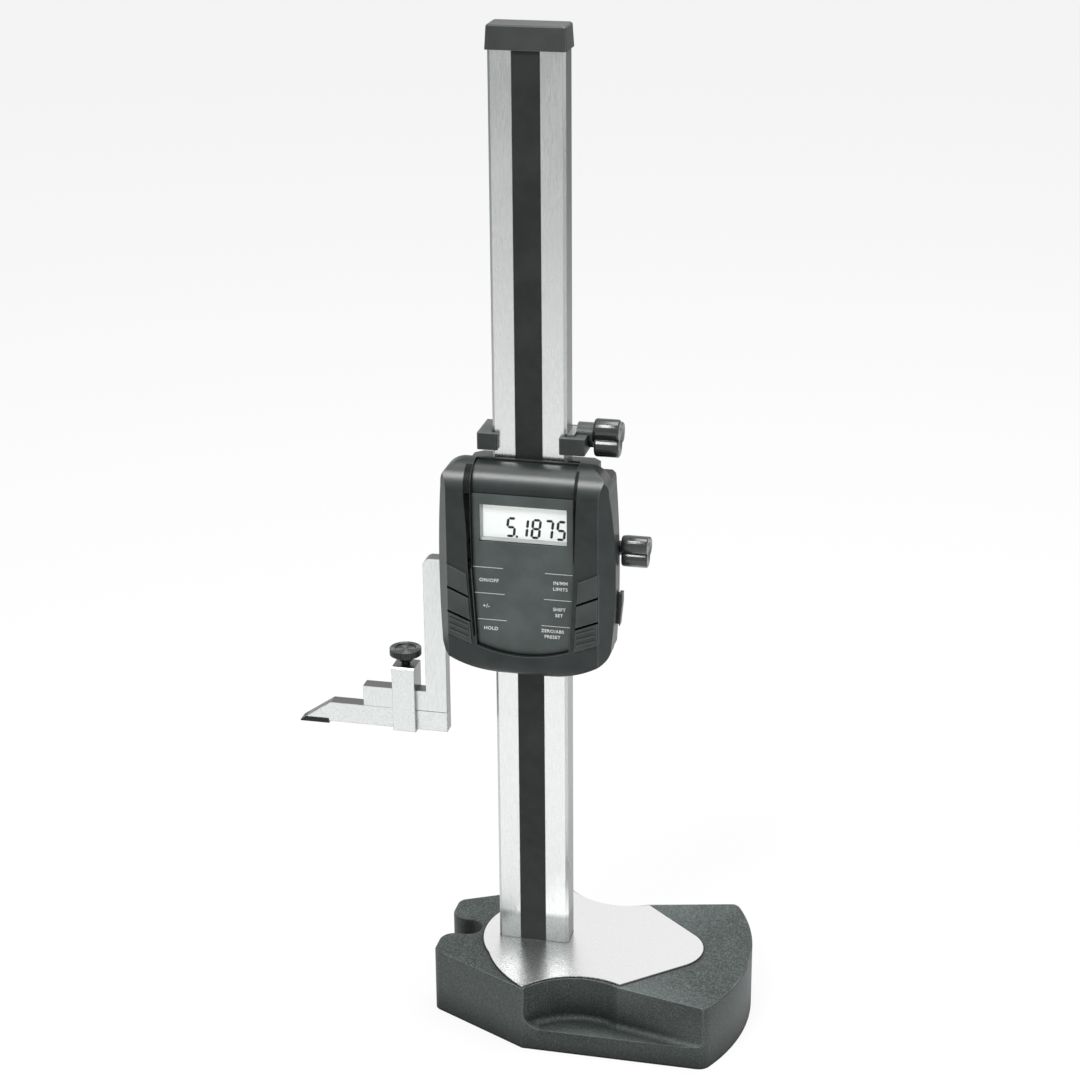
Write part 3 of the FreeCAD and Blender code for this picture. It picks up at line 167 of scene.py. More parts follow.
def edge_band(mat, radius, on_edge, on_face):
    """A tone for the narrow band along the edges, and one for the rest."""
    rounded = add(mat, "Bevel", samples=4)
    rounded.inputs["Radius"].default_value = radius
    facing = add(mat, "NewGeometry")
    same = add(mat, "VectorMath", operation="DOT_PRODUCT")
    link(mat, rounded.outputs["Normal"], same.inputs[0])
    link(mat, facing.outputs["Normal"], same.inputs[1])
    return ramp(mat, same.outputs["Value"], [(0.80, on_edge), (0.985, on_face)])


# Reach and darkness of the painted shade in seams.
SEAM_REACH = 1.4 * MM
SEAM_SHADE = 0.06


def edge_glint_and_seam_shade(mat, color, light, radius):
    """Painted highlights on the outer edges, and painted shade in the seams."""
    seam_shade = painted_crease_shade(mat, SEAM_REACH, SEAM_SHADE)
    band = edge_band(mat, radius, light, grey(0))
    lit = blend_in(mat, color, blend_in(mat, band, seam_shade), "ADD")
    return blend_in(mat, lit, seam_shade)


def bump(mat, shader, height, distance, strength=1.0):
    made = add(mat, "Bump", Strength=strength, Distance=distance)
    link(mat, height, made.inputs["Height"])
    link(mat, made.outputs["Normal"], shader.inputs["Normal"])


def crown_gloss(mat, shader, crown, rough):
    """A coat that is strongest on faces that look half up, such as the crown's."""
    gloss = ramp(mat, facing_parts(mat)["Z"], [(0.12, grey(0)), (0.45, grey(crown)),
                                               (0.78, grey(crown)), (0.95, grey(0))])
    link(mat, gloss, shader.inputs["Coat Weight"])
    shader.inputs["Coat Roughness"].default_value = rough


def moulded_plastic(name, color, rough=0.42, grain=2600, depth=0.00006, tone=0.12,
                    rim=0.0, side=1.0, shine=0.5, crown=0.0):
    """Moulded plastic with a fine spark-eroded grain and slight changes of tone; side paints
    shade on faces that don't look up, rim paints highlights on the edges and shade in seams.
    """
    mat, shader = blank_material(name, color, rough)
    place = object_space(mat)
    cloud = noise(mat, place, 90, 4.0)
    dark = tuple(c * (1 - tone) for c in color)
    light = tuple(min(1.0, c * (1 + tone) + 0.004) for c in color)
    skin = ramp(mat, cloud, [(0.35, dark), (0.65, light)])
    # Painted shade on the sides, then painted highlights on the edges and painted shade in the
    # seams.
    if side < 1.0:
        skin = painted_shade_on_sides(mat, skin, side)
    if rim > 0.0:
        skin = edge_glint_and_seam_shade(mat, skin, (rim, rim * 1.1, rim * 1.08), 0.45 * MM)
    link(mat, skin, shader.inputs["Base Color"])
    fine = noise(mat, place, grain, 2.0, 0.6)
    bump(mat, shader, fine, depth, 0.7)
    link(mat, spread(mat, fine, rough - 0.08, rough + 0.12), shader.inputs["Roughness"])
    shader.inputs["Specular IOR Level"].default_value = shine
    if crown > 0.0:
        crown_gloss(mat, shader, crown, rough)
    return mat


def brushed_steel(name, color, rough, stretch, scale=900, depth=0.000012, tone=0.08,
                  up=1.0, across=1.0, foot=None, outline=1.0):
    """Ground steel whose lines run along the axis that stretch leaves small. up and across
    paint shade and light on its faces by the way they look, foot gives the levels of a
    painted darker reflection at the foot, outline paints shade along the edges."""
    mat, shader = blank_material(name, color, rough, 1.0)
    lines = noise(mat, object_space(mat, stretch), scale, 4.0, 0.6)
    clouds = noise(mat, object_space(mat), 40, 3.0)
    dark = tuple(c * (1 - tone) for c in color)
    light = tuple(min(1.0, c * (1 + tone)) for c in color)
    streaks = ramp(mat, lines, [(0.3, dark), (0.7, light)])
    # Painted shade and light by the way faces look, a painted darker reflection at the foot and
    # painted shade along the edges.
    skin = painted_shade_by_side(mat, streaks, up, across)
    if foot:
        level = add(mat, "SeparateXYZ")
        link(mat, object_space(mat), level.inputs["Vector"])
        share = add(mat, "MapRange", From_Min=foot[0], From_Max=foot[1])
        link(mat, level.outputs["Z"], share.inputs["Value"])
        dim = ramp(mat, share.outputs["Result"], [(0.0, (0.30, 0.31, 0.31)),
                                                  (0.85, (0.5, 0.51, 0.51)), (1.0, grey(1))])
        skin = blend_in(mat, skin, dim)
    if outline < 1.0:
        dim = (outline, outline * 1.04, outline * 1.03)
        skin = blend_in(mat, skin, edge_band(mat, 0.5 * MM, dim, grey(1)))
    link(mat, skin, shader.inputs["Base Color"])
    bump(mat, shader, lines, depth, 0.5)
    mixed = add(mat, "Math", operation="MULTIPLY")
    link(mat, lines, mixed.inputs[0])
    link(mat, clouds, mixed.inputs[1])
    link(mat, spread(mat, mixed.outputs[0], rough - 0.08, rough + 0.22),
         shader.inputs["Roughness"])
    return mat


PAD_LEVEL = 31.2 * MM
SCOOP_REACH = 16 * MM


def hammered_paint():
    """Hammered dark paint, with painted highlights along its edges, and painted shade on its
    sides, in its seams and down in the scoops.
    """
    mat, paint = blank_material("hammered_paint", (0.05, 0.06, 0.058), 0.5)
    place = object_space(mat)
    speckle = noise(mat, place, 1500, 3.0, 0.65)
    blotch = noise(mat, place, 60, 3.0)
    grain = ramp(mat, speckle, [(0.34, (0.022, 0.027, 0.026)), (0.52, (0.070, 0.083, 0.080)),
                                (0.7, (0.175, 0.20, 0.19))])
    cloud = ramp(mat, blotch, [(0.3, (0.62, 0.63, 0.63)), (0.7, (0.9, 0.9, 0.9))])
    # Painted highlights on sharp edges, then painted shade on the sides, in the seams and down
    # in the scoops.
    shape = add(mat, "NewGeometry")
    faded_ink_and_edge_glint = spread(mat, shape.outputs["Pointiness"], 0.0, 1.0)
    rim = ramp(mat, faded_ink_and_edge_glint, [(0.50, grey(0)), (0.56, (0.07, 0.08, 0.078))])
    skin = blend_in(mat, blend_in(mat, grain, cloud, factor=0.5), rim, "ADD")
    skin = painted_shade_on_sides(mat, skin, 0.5)
    skin = edge_glint_and_seam_shade(mat, skin, (0.10, 0.115, 0.11), 0.7 * MM)
    skin = blend_in(mat, skin, painted_crease_shade(mat, SCOOP_REACH, 0.30))
    link(mat, skin, paint.inputs["Base Color"])
    bump(mat, paint, noise(mat, place, 700, 3.0, 0.6), 0.12 * MM, 0.8)
    link(mat, spread(mat, speckle, 0.36, 0.62), paint.inputs["Roughness"])
    paint.inputs["Specular IOR Level"].default_value = 0.22
    return mat, paint


def base_finish():
    """Paint on the casting, and bare ground steel from the level of the pad."""
    mat, paint = hammered_paint()
    ground = add(mat, "BsdfPrincipled", Roughness=0.3, Metallic=1.0)
    lines = noise(mat, object_space(mat, (1, 12, 1)), 700, 4.0, 0.6)
    link(mat, ramp(mat, lines, [(0.3, (0.95, 0.96, 0.95)), (0.7, grey(1))]),
         ground.inputs["Base Color"])
    bump(mat, ground, lines, 0.01 * MM, 0.5)
    link(mat, spread(mat, lines, 0.2, 0.36), ground.inputs["Roughness"])
    height = add(mat, "SeparateXYZ")
    link(mat, object_space(mat), height.inputs["Vector"])
    above = add(mat, "Math", operation="GREATER_THAN")
    above.inputs[1].default_value = PAD_LEVEL
    link(mat, height.outputs["Z"], above.inputs[0])
    both = add(mat, "MixShader")
    link(mat, above.outputs[0], both.inputs[0])
    link(mat, paint.outputs[0], both.inputs[1])
    link(mat, ground.outputs[0], both.inputs[2])
    link(mat, both.outputs[0], mat.node_tree.nodes["Material Output"].inputs["Surface"])
    return mat


def clear_window():
    """The clear plate over the display: a faint reflection over what lies behind."""
    mat, shader = blank_material("clear_plate", (0.95, 0.97, 0.96), 0.08)
    shader.inputs["Alpha"].default_value = 0.035
    smear = noise(mat, object_space(mat), 500)
    link(mat, spread(mat, smear, 0.05, 0.14), shader.inputs["Roughness"])
    return mat


def display_face():
    """Pale glass of the display, with slight clouds and a weak painted glow that stands in for
    the light on it.
    """
    mat, shader = blank_material("display_face", (0.88, 0.90, 0.88), 0.35)
    cloud = noise(mat, object_space(mat), 30)
    link(mat, ramp(mat, cloud, [(0.3, (0.86, 0.88, 0.86)), (0.7, (0.93, 0.95, 0.93))]),
         shader.inputs["Base Color"])
    shader.inputs["Emission Color"].default_value = (0.95, 1.0, 0.97, 1.0)
    shader.inputs["Emission Strength"].default_value = 0.16
    return mat


def panel_print(name, color):
    """Matt print, a little uneven in tone."""
    mat, shader = blank_material(name, color, 0.6)
    shader.inputs["Specular IOR Level"].default_value = 0.1
    faded_ink_and_edge_glint = tuple(c * 0.85 for c in color)
    ink = noise(mat, object_space(mat), 900)
    link(mat, ramp(mat, ink, [(0.4, faded_ink_and_edge_glint), (0.6, color)]), shader.inputs["Base Color"])
    return mat


PAINTED_SHEEN_BANDS = 4


def turned_top(name, corners):
    """Dark turned finish with a painted sheen in bands round the middle of a node's box on
    its top, painted darker sides, painted highlights on the edges and painted shade in seams."""
    centre = (corners[0] + corners[1]) / 2
    dark = (0.014, 0.016, 0.016)
    mat, shader = blank_material(name, dark, 0.3)
    place = add(mat, "TexCoord")
    moved = add(mat, "Mapping", Location=(-centre.x, -centre.y, 0))
    link(mat, place.outputs["Object"], moved.inputs["Vector"])
    around = add(mat, "TexGradient", gradient_type="RADIAL")
    link(mat, moved.outputs["Vector"], around.inputs["Vector"])
    turns = add(mat, "Math", operation="MULTIPLY")
    turns.inputs[1].default_value = 2 * math.pi * PAINTED_SHEEN_BANDS
    link(mat, around.outputs["Fac"], turns.inputs[0])
    wave = add(mat, "Math", operation="SINE")
    link(mat, turns.outputs[0], wave.inputs[0])
    # Painted sheen in bands on the top; the faces that don't look up are painted darker.
    painted_sheen = ramp(mat, wave.outputs[0], [(0.0, dark), (0.75, (0.10, 0.115, 0.11))])
    flat = ramp(mat, facing_parts(mat)["Z"], [(0.9, grey(0.16)), (0.97, grey(1))])
    skin = edge_glint_and_seam_shade(mat, blend_in(mat, painted_sheen, flat), (0.05, 0.055, 0.055), 0.3 * MM)
    link(mat, skin, shader.inputs["Base Color"])
    return mat


def circuit_finish():
    """Green solder mask with paler traces."""
    mat, shader = blank_material("solder_mask", (0.02, 0.13, 0.06), 0.35)
    traces = noise(mat, object_space(mat), 700, 2.0)
    link(mat, ramp(mat, traces, [(0.45, (0.015, 0.1, 0.05)), (0.55, (0.03, 0.17, 0.08))]),
         shader.inputs["Base Color"])
    return mat


# rim, side, up, across, foot and outline set painted highlights and painted shade; shadow_black
# is painted shade.
FINISH = {
    "paint": base_finish(),
    "column": brushed_steel("column_steel", (0.72, 0.735, 0.725), 0.28, (14, 14, 0.5), 500,
                            across=0.34, foot=(31 * MM, 47 * MM), outline=0.6),
    "strip": moulded_plastic("strip_black", (0.018, 0.020, 0.019), 0.6, 1800, shine=0.25),
    "cap": moulded_plastic("cap_charcoal", (0.028, 0.032, 0.031), 0.36, 1400, rim=0.06),
    "anodised": moulded_plastic("dark_anodise", (0.045, 0.05, 0.049), 0.38, 1800, 0.00003),
    "carriage": moulded_plastic("carriage_paint", (0.066, 0.076, 0.074), 0.34, 1600, 0.00004,
                                rim=0.09, side=0.42, shine=0.3),
    "housing": moulded_plastic("housing_grain", (0.020, 0.0255, 0.0245), 0.33, 1700, 0.00004,
                               rim=0.13, shine=0.26, crown=0.7),
    "key": moulded_plastic("key_grain", (0.040, 0.048, 0.046), 0.34, 1900, 0.00005,
                           rim=0.08, shine=0.3),
    "panel": moulded_plastic("panel_film", (0.060, 0.073, 0.070), 0.42, 2200, 0.00003, rim=0.05,
                             shine=0.4),
    "window": clear_window(),
    "lcd": display_face(),
    "digit": panel_print("display_figures", (0.012, 0.013, 0.012)),
    "bezel": moulded_plastic("bezel_grey", (0.36, 0.39, 0.38), 0.4, 1800, 0.00002),
    "shadow_black": moulded_plastic("recess_shade_black", (0.006, 0.007, 0.007), 0.4, 1600, 0.00003,
                                    shine=0.1),
    "legend": panel_print("white_print", (0.80, 0.83, 0.82)),
    "board": circuit_finish(),
    "cell": brushed_steel("cell_can", (0.74, 0.74, 0.73), 0.25, (1, 1, 8)),
    "gib": brushed_steel("ground_gib", (0.50, 0.51, 0.50), 0.34, (1, 1, 10)),
    "screw": brushed_steel("black_steel", (0.10, 0.105, 0.105), 0.36, (1, 1, 1), 1500),
    "knob": moulded_plastic("knob_black", (0.014, 0.017, 0.0165), 0.2, 1200, 0.00003, rim=0.10,
                            shine=0.7),
    "jaw": brushed_steel("satin_steel", (0.66, 0.68, 0.665), 0.3, (2, 6, 6), 500, tone=0.16,
                         up=0.26, across=0.32, outline=0.3),
    "arm": brushed_steel("arm_steel", (0.67, 0.69, 0.675), 0.32, (10, 10, 0.5), 480,
                         tone=0.14, up=0.26, across=0.32, outline=0.3),
    "carbide": brushed_steel("carbide", (0.03, 0.033, 0.034), 0.3, (8, 1, 1), 1200),
    "thumb": turned_top("thumb_black", node_box("clamp_screw")),
}

NODE_FINISH = {
    "base_casting": "paint", "column_screws": "screw", "column": "column",
    "scale_strip": "strip", "top_cap": "cap", "slider_frame": "anodised",
    "slider_gib": "gib", "gib_screws": "screw", "front_shell": "housing",
    "rear_cover_left": "housing", "rear_cover_right": "housing", "shell_screws": "screw",
    "face_panel": "panel", "display_window": "window", "lcd_module": "lcd",
    "circuit_board": "board", "board_screws": "screw", "reading_head": "board",
    "battery": "cell", "battery_clip": "cell", "port_socket": "cap", "hold_key": "key",
    "sign_key": "key", "power_key": "key", "zero_key": "key", "preset_key": "key",
    "units_key": "key", "port_cover": "cap", "slider_lock_knob": "knob",
    "carriage_lock_knob": "knob", "fine_carriage": "carriage", "carriage_gib": "gib",
    "fine_adjust_screw": "screw", "fine_adjust_wheel": "thumb", "jaw_arm": "arm",
    "jaw_screws": "screw", "scriber": "jaw", "carbide_tip": "carbide",
    "scriber_clamp": "jaw", "clamp_screw": "thumb",
}


def dress_nodes():
    for name, finish in NODE_FINISH.items():
        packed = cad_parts[name]
        packed.data.materials.clear()
        packed.data.materials.append(FINISH[finish])


# New pieces


def finished(name, mesh, finish, body):
    """Turn a bmesh into a piece that rides on a body."""
    bmesh.ops.recalc_face_normals(mesh, faces=mesh.faces)
    data = bpy.data.meshes.new(name)
    mesh.to_mesh(data)
    mesh.free()
    piece = bpy.data.objects.new(name, data)
    bpy.context.scene.collection.objects.link(piece)
    data.materials.append(FINISH[finish])
    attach(piece, body)
    return piece


def flat_shape(mesh, corners, y_front, thickness):
    """A thin plate that faces -Y, from corners (x, z)."""
    face = mesh.faces.new([mesh.verts.new((x, y_front, z)) for x, z in corners])
    grown = bmesh.ops.extrude_face_region(mesh, geom=[face])
    verts = [item for item in grown["geom"] if isinstance(item, bmesh.types.BMVert)]
    bmesh.ops.translate(mesh, verts=verts, vec=(0, thickness, 0))


def flat_bar(mesh, left, right, foot, top, y_front, thickness):
    """A thin upright rectangle that faces -Y."""
    flat_shape(mesh, [(left, foot), (right, foot), (right, top), (left, top)], y_front,
               thickness)


# Segments of a figure in a box one wide and one tall: a top, b and c right, d foot,
# e and f left, g middle.
SEGMENTS = {
    "a": ((0, 1), (1, 1)), "b": ((1, 1), (1, 0.5)), "c": ((1, 0.5), (1, 0)),
    "d": ((0, 0), (1, 0)), "e": ((0, 0.5), (0, 0)), "f": ((0, 1), (0, 0.5)),
    "g": ((0, 0.5), (1, 0.5)),
}
FIGURES = {"5": "afgcd", "1": "bc", "8": "abcdefg", "7": "abc"}
FIGURE_WIDTH, FIGURE_HEIGHT, FIGURE_PITCH = 3.2 * MM, 8.1 * MM, 5.5 * MM
FIGURE_LEAN = 0.11
BAR_HALF, BAR_GAP = 0.58 * MM, 0.1 * MM
INK = 0.05 * MM
READING_LEFT, READING_FOOT = -7.7 * MM, 236.6 * MM
POINT_SIZE, POINT_BACK, POINT_DROP = 1.0 * MM, 1.45 * MM, 0.6 * MM


def segment_bar(mesh, start, end, origin, y_front):
    """One bar of a figure, pointed at both ends."""
    a = Vector((start[0] * FIGURE_WIDTH, start[1] * FIGURE_HEIGHT))
    b = Vector((end[0] * FIGURE_WIDTH, end[1] * FIGURE_HEIGHT))
    along = (b - a).normalized()
    across = Vector((-along.y, along.x))
    a += along * BAR_GAP
    b -= along * BAR_GAP
    points = [a, a + (along + across) * BAR_HALF, b + (across - along) * BAR_HALF, b,
              b - (along + across) * BAR_HALF, a + (along - across) * BAR_HALF]
    flat_shape(mesh, [(origin[0] + p.x + FIGURE_LEAN * p.y, origin[1] + p.y) for p in points],
               y_front, INK)


def display_figures():
    """The reading 5.1875 in seven-segment figures."""
    mesh = bmesh.new()
    face = node_box("lcd_module")[0].y - INK
    x = READING_LEFT
    for mark in "5.1875":
        if mark == ".":
            left, foot = x - POINT_BACK, READING_FOOT - POINT_DROP
            flat_bar(mesh, left, left + POINT_SIZE, foot, foot + POINT_SIZE, face, INK)
            continue
        for label in FIGURES[mark]:
            start, end = SEGMENTS[label]
            segment_bar(mesh, start, end, (x, READING_FOOT), face)
        x += FIGURE_PITCH
    finished("display_figures", mesh, "digit", "slider")


PRINT = 0.02 * MM


def lettering(name, text, x, z, size, y_front):
    """A word that faces -Y, as a thin mesh centred on x, z."""
    curve = bpy.data.curves.new(name, "FONT")
    curve.body = text
    curve.size = size
    curve.align_x = "CENTER"
    curve.align_y = "CENTER"
    curve.extrude = PRINT
    curve.offset = 0.035 * MM
    curve.resolution_u = 3
    curve.space_character = 1.08
    holder = bpy.data.objects.new(name + "_curve", curve)
    bpy.context.scene.collection.objects.link(holder)
    bpy.context.view_layer.update()
    data = bpy.data.meshes.new_from_object(holder)
    bpy.data.objects.remove(holder)
    mesh = bmesh.new()
    mesh.from_mesh(data)
    bpy.data.meshes.remove(data)
    bmesh.ops.remove_doubles(mesh, verts=mesh.verts, dist=0.001 * MM)
    place = Matrix.Translation((x, y_front, z)) @ Matrix.Rotation(math.pi / 2, 4, "X")
    bmesh.ops.transform(mesh, matrix=place, verts=mesh.verts)
    finished(name, mesh, "legend", "slider")


# Half the height of a rule, in mm.
RULE_HALF = 0.11
# Name, text, x, level and letter size of each word, in mm.
PANEL_WORDS = (
    ("word_power", "ON/OFF", -15.2, 216.2, 2.25), ("word_sign", "+/-", -16.6, 204.1, 2.5),
    ("word_hold", "HOLD", -14.6, 193.7, 2.2), ("word_units", "IN/MM", 16.5, 217.3, 2.15),
    ("word_limits", "LIMITS", 16.4, 214.5, 2.15), ("word_shift", "SHIFT", 15.9, 205.0, 2.1),
    ("word_set", "SET", 15.8, 202.2, 2.1), ("word_zero", "ZERO/ABS", 12.9, 194.6, 2.1),
    ("word_preset", "PRESET", 12.8, 191.9, 2.1))
# Left end, right end and level of each rule, in mm.
PANEL_RULES = ((-22.2, -8.9, 222.2), (-21.6, -8.3, 210.1), (-20.4, -7.5, 197.8),
               (9.7, 22.2, 221.5), (9.2, 21.6, 209.4), (8.0, 20.9, 197.0))


def panel_marks():
    """Rules and words printed on the panel."""
    face = node_box("face_panel")[0].y - PRINT
    mesh = bmesh.new()
    for left, right, level in PANEL_RULES:
        flat_bar(mesh, left * MM, right * MM, (level - RULE_HALF) * MM,
                 (level + RULE_HALF) * MM, face, PRINT)
    finished("panel_rules", mesh, "legend", "slider")
    for name, text, x, z, size in PANEL_WORDS:
        lettering(name, text, x * MM, z * MM, size * MM, face)


LEDGE, LEDGE_LEFT, LEDGE_FOOT = 0.3 * MM, 0.9 * MM, 1.0 * MM


def display_bezel():
    """The pale ledge round the display: a frame inset from the window's edge, pushed
    back to the display and widened at the left and below."""
    low, high = node_box("display_window")
    mesh = bmesh.new()
    front, back = low.y + 0.1 * MM, high.y - 0.15 * MM
    corners = [(low.x, low.z), (high.x, low.z), (high.x, high.z), (low.x, high.z)]
    pane = mesh.faces.new([mesh.verts.new((x, front, z)) for x, z in corners])
    pane.normal_update()
    bmesh.ops.inset_region(mesh, faces=[pane], thickness=LEDGE, use_even_offset=True,
                           use_boundary=True)
    middle = (low + high) / 2
    for vert in pane.verts:
        vert.co.y = back
        if vert.co.x < middle.x:
            vert.co.x += LEDGE_LEFT
        if vert.co.z < middle.z:
            vert.co.z += LEDGE_FOOT
    bmesh.ops.delete(mesh, geom=[pane], context="FACES_ONLY")
    bmesh.ops.solidify(mesh, geom=mesh.faces[:], thickness=0.02 * MM)
    finished("display_bezel", mesh, "bezel", "slider")


def along_rows(rows, level):
    """Outer and inner x at a level, on straight lines between the rows."""
    for upper, lower in zip(rows, rows[1:]):
        if level >= lower[2]:
            part = (upper[2] - level) / (upper[2] - lower[2])
            return [a + (b - a) * part for a, b in zip(upper[:2], lower[:2])]
    return rows[-1][:2]


def recess_shade_sheet(name, rows):
    """A dark sheet of painted shade on the sloping side of the recess: a grid laid on the
    shell between rows that give its outer x, inner x and level in mm."""
    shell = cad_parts["front_shell"]
    skin = bmesh.new()
    skin.from_mesh(shell.data)
    skin.transform(shell.matrix_world)
    surface = BVHTree.FromBMesh(skin)
    skin.free()
    mesh = bmesh.new()
    bmesh.ops.create_grid(mesh, x_segments=4, y_segments=120, size=0.5)
    top, bottom = rows[0][2], rows[-1][2]
    in_front = -80 * MM
    lift = Vector((0, -0.07 * MM, -0.02 * MM))
    for vert in mesh.verts:
        level = bottom + (top - bottom) * (vert.co.y + 0.5)
        x_out, x_in = along_rows(rows, level)
        x = x_out + (x_in - x_out) * (vert.co.x + 0.5)
        hit = surface.ray_cast(Vector((x * MM, in_front, level * MM)), Vector((0, 1, 0)))[0]
        vert.co = hit + lift
    bmesh.ops.solidify(mesh, geom=mesh.faces[:], thickness=-0.03 * MM)
    finished(name, mesh, "shadow_black", "slider")


# Outer x, inner x and level of the rows of the painted shade on each side, in mm.
LEFT_SIDE = ((-25.64, -22.73, 267.4), (-25.7, -22.7, 262.0), (-25.2, -22.65, 252.0),
             (-24.3, -22.6, 240.0), (-23.9, -22.4, 222.0), (-22.8, -21.4, 204.0),
             (-21.8, -20.65, 190.5))
RIGHT_SIDE = ((24.07, 22.7, 267.4), (24.2, 22.7, 262.0), (23.6, 22.7, 250.0),
              (22.95, 22.65, 228.0))


THREAD_PITCH, THREAD_DEPTH, THREAD_STEPS = 0.75 * MM, 0.3 * MM, 16


def threaded_rod():
    """The fine adjustment screw with its thread, a fine vee wound along the rod."""
    low, high = node_box("fine_adjust_screw")
    centre = (low + high) / 2
    crest = (high.x - low.x) / 2
    root = crest - THREAD_DEPTH
    mesh = bmesh.new()
    turns = int((high.z - low.z) / THREAD_PITCH) - 1
    line = [mesh.verts.new((centre.x + r, centre.y, low.z + z)) for r, z in
            ((root, 0), (crest, THREAD_PITCH / 2), (root, THREAD_PITCH))]
    edges = [mesh.edges.new(pair) for pair in zip(line, line[1:])]
    bmesh.ops.spin(mesh, geom=line + edges, cent=(centre.x, centre.y, 0), axis=(0, 0, 1),
                   dvec=(0, 0, THREAD_PITCH / THREAD_STEPS), angle=2 * math.pi * turns,
                   steps=THREAD_STEPS * turns)
    bmesh.ops.remove_doubles(mesh, verts=mesh.verts, dist=0.002 * MM)
    core = bmesh.ops.create_cone(mesh, cap_ends=True, segments=32, radius1=root,
                                 radius2=root, depth=high.z - low.z)
    bmesh.ops.translate(mesh, verts=core["verts"], vec=centre)
    rod = finished("threaded_rod", mesh, "screw", "slider")
    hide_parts("fine_adjust_screw")


THIRD = 2 * math.pi / 3
# Count and height in mm of the grip ridges, then the bars behind a knob, in mm.
RIDGES, RIDGE = 36, 0.05
SCREW_RADIUS, NECK_RADIUS, NECK_LENGTH = 2.0, 3.0, 0.8
KNOB_SCALE = 0.955


def knob_profile(length):
    """Steps along a knob's axis in mm, each with the share its outline grows by: a
    rounded back, the grip, a rounded front and the dish."""
    return ((0.5, 1.045), (0.4, 1.015), (length - 1.8, 1.0), (0.5, 0.985), (0.4, 0.93),
            (0.0, 0.72), (-0.5, 0.66), (0.0, 0.2))


def lobe_radius(angle, ring, lobe, turn):
    """Radius in mm of three round lobes whose middles lie on a ring."""
    phase = (angle - turn + THIRD / 2) % THIRD - THIRD / 2
    reach = lobe * lobe - (ring * math.sin(phase)) ** 2
    radius = ring * math.cos(phase) + math.sqrt(max(reach, 0))
    return max(radius, ring * 1.06) + RIDGE * math.cos(RIDGES * angle)


def lobed_knob(name, node, body, middle, ring, lobe, turn, length):
    """A three-lobed knob with rounded ends, a dished face and fine grip ridges, and its
    screw and neck behind it. middle is the axis's y and z, sizes are in mm."""
    low, high = node_box(node)
    axis = Vector((0, middle[0] * MM, middle[1] * MM))
    mesh = bmesh.new()
    circle = bmesh.ops.create_circle(mesh, cap_ends=False, segments=144, radius=1.0)["verts"]
    for vert in circle:
        angle = math.atan2(vert.co.y, vert.co.x)
        radius = lobe_radius(angle, ring, lobe, math.radians(turn)) * MM
        vert.co = Vector((high.x - length * MM, axis.y + radius * math.cos(angle),
                          axis.z + radius * math.sin(angle)))
    edges = mesh.edges[:]
    for step, grow in knob_profile(length):
        made = bmesh.ops.extrude_edge_only(mesh, edges=edges)["geom"]
        verts = [item for item in made if isinstance(item, bmesh.types.BMVert)]
        edges = [item for item in made if isinstance(item, bmesh.types.BMEdge)]
        for vert in verts:
            vert.co = Vector((vert.co.x + step * MM, axis.y + (vert.co.y - axis.y) * grow,
                              axis.z + (vert.co.z - axis.z) * grow))
    bmesh.ops.holes_fill(mesh, edges=[edge for edge in mesh.edges if edge.is_boundary])
    for vert in mesh.verts:
        vert.co.y = axis.y + (vert.co.y - axis.y) * KNOB_SCALE
        vert.co.z = axis.z + (vert.co.z - axis.z) * KNOB_SCALE
    back = high.x - length * MM
    for start, end, radius in ((low.x, high.x - 2 * MM, SCREW_RADIUS),
                               (back - NECK_LENGTH * MM, back, NECK_RADIUS)):
        bar = bmesh.ops.create_cone(mesh, cap_ends=True, segments=32, radius1=radius * MM,
                                    radius2=radius * MM, depth=end - start)["verts"]
        bmesh.ops.rotate(mesh, verts=bar, matrix=Matrix.Rotation(math.pi / 2, 3, "Y"))
        bmesh.ops.translate(mesh, verts=bar, vec=((start + end) / 2, axis.y, axis.z))
    for face in mesh.faces:
        face.smooth = True
    knob = finished(name, mesh, "knob", body)
    knob.data.set_sharp_from_angle(angle=math.radians(38))
    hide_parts(node)


def parting_line():
    """The dark line between the jaw's foot and the scriber, right of the clamp."""
    front = node_box("jaw_arm")[0].y - 0.03 * MM
    left = node_box("scriber_clamp")[1].x + 0.2 * MM
    scriber_top = node_box("scriber")[1]
    level, half = scriber_top.z, 0.12 * MM
    mesh = bmesh.new()
    flat_bar(mesh, left, scriber_top.x, level - half, level + half, front, 0.03 * MM)
    finished("parting_line", mesh, "screw", "slider")


def foot_line():
    """The thin dark line where the column stands on the ground pad."""
    low, high = node_box("column")
    middle = (low + high) / 2
    rim, tall = 0.12 * MM, 0.14 * MM
    mesh = bmesh.new()
    bmesh.ops.create_cube(mesh, size=1.0)
    bmesh.ops.scale(mesh, verts=mesh.verts,
                    vec=(high.x - low.x + 2 * rim, high.y - low.y + 2 * rim, tall))
    bmesh.ops.translate(mesh, verts=mesh.verts, vec=(middle.x, middle.y, low.z + tall / 2))
    upright = [edge for edge in mesh.edges
               if abs(edge.verts[0].co.z - edge.verts[1].co.z) > tall / 2]
    bmesh.ops.bevel(mesh, geom=upright, offset=1.2 * MM, segments=1, affect="EDGES",
                    profile=0.5, material=-1)
    finished("foot_line", mesh, "screw", "stand")


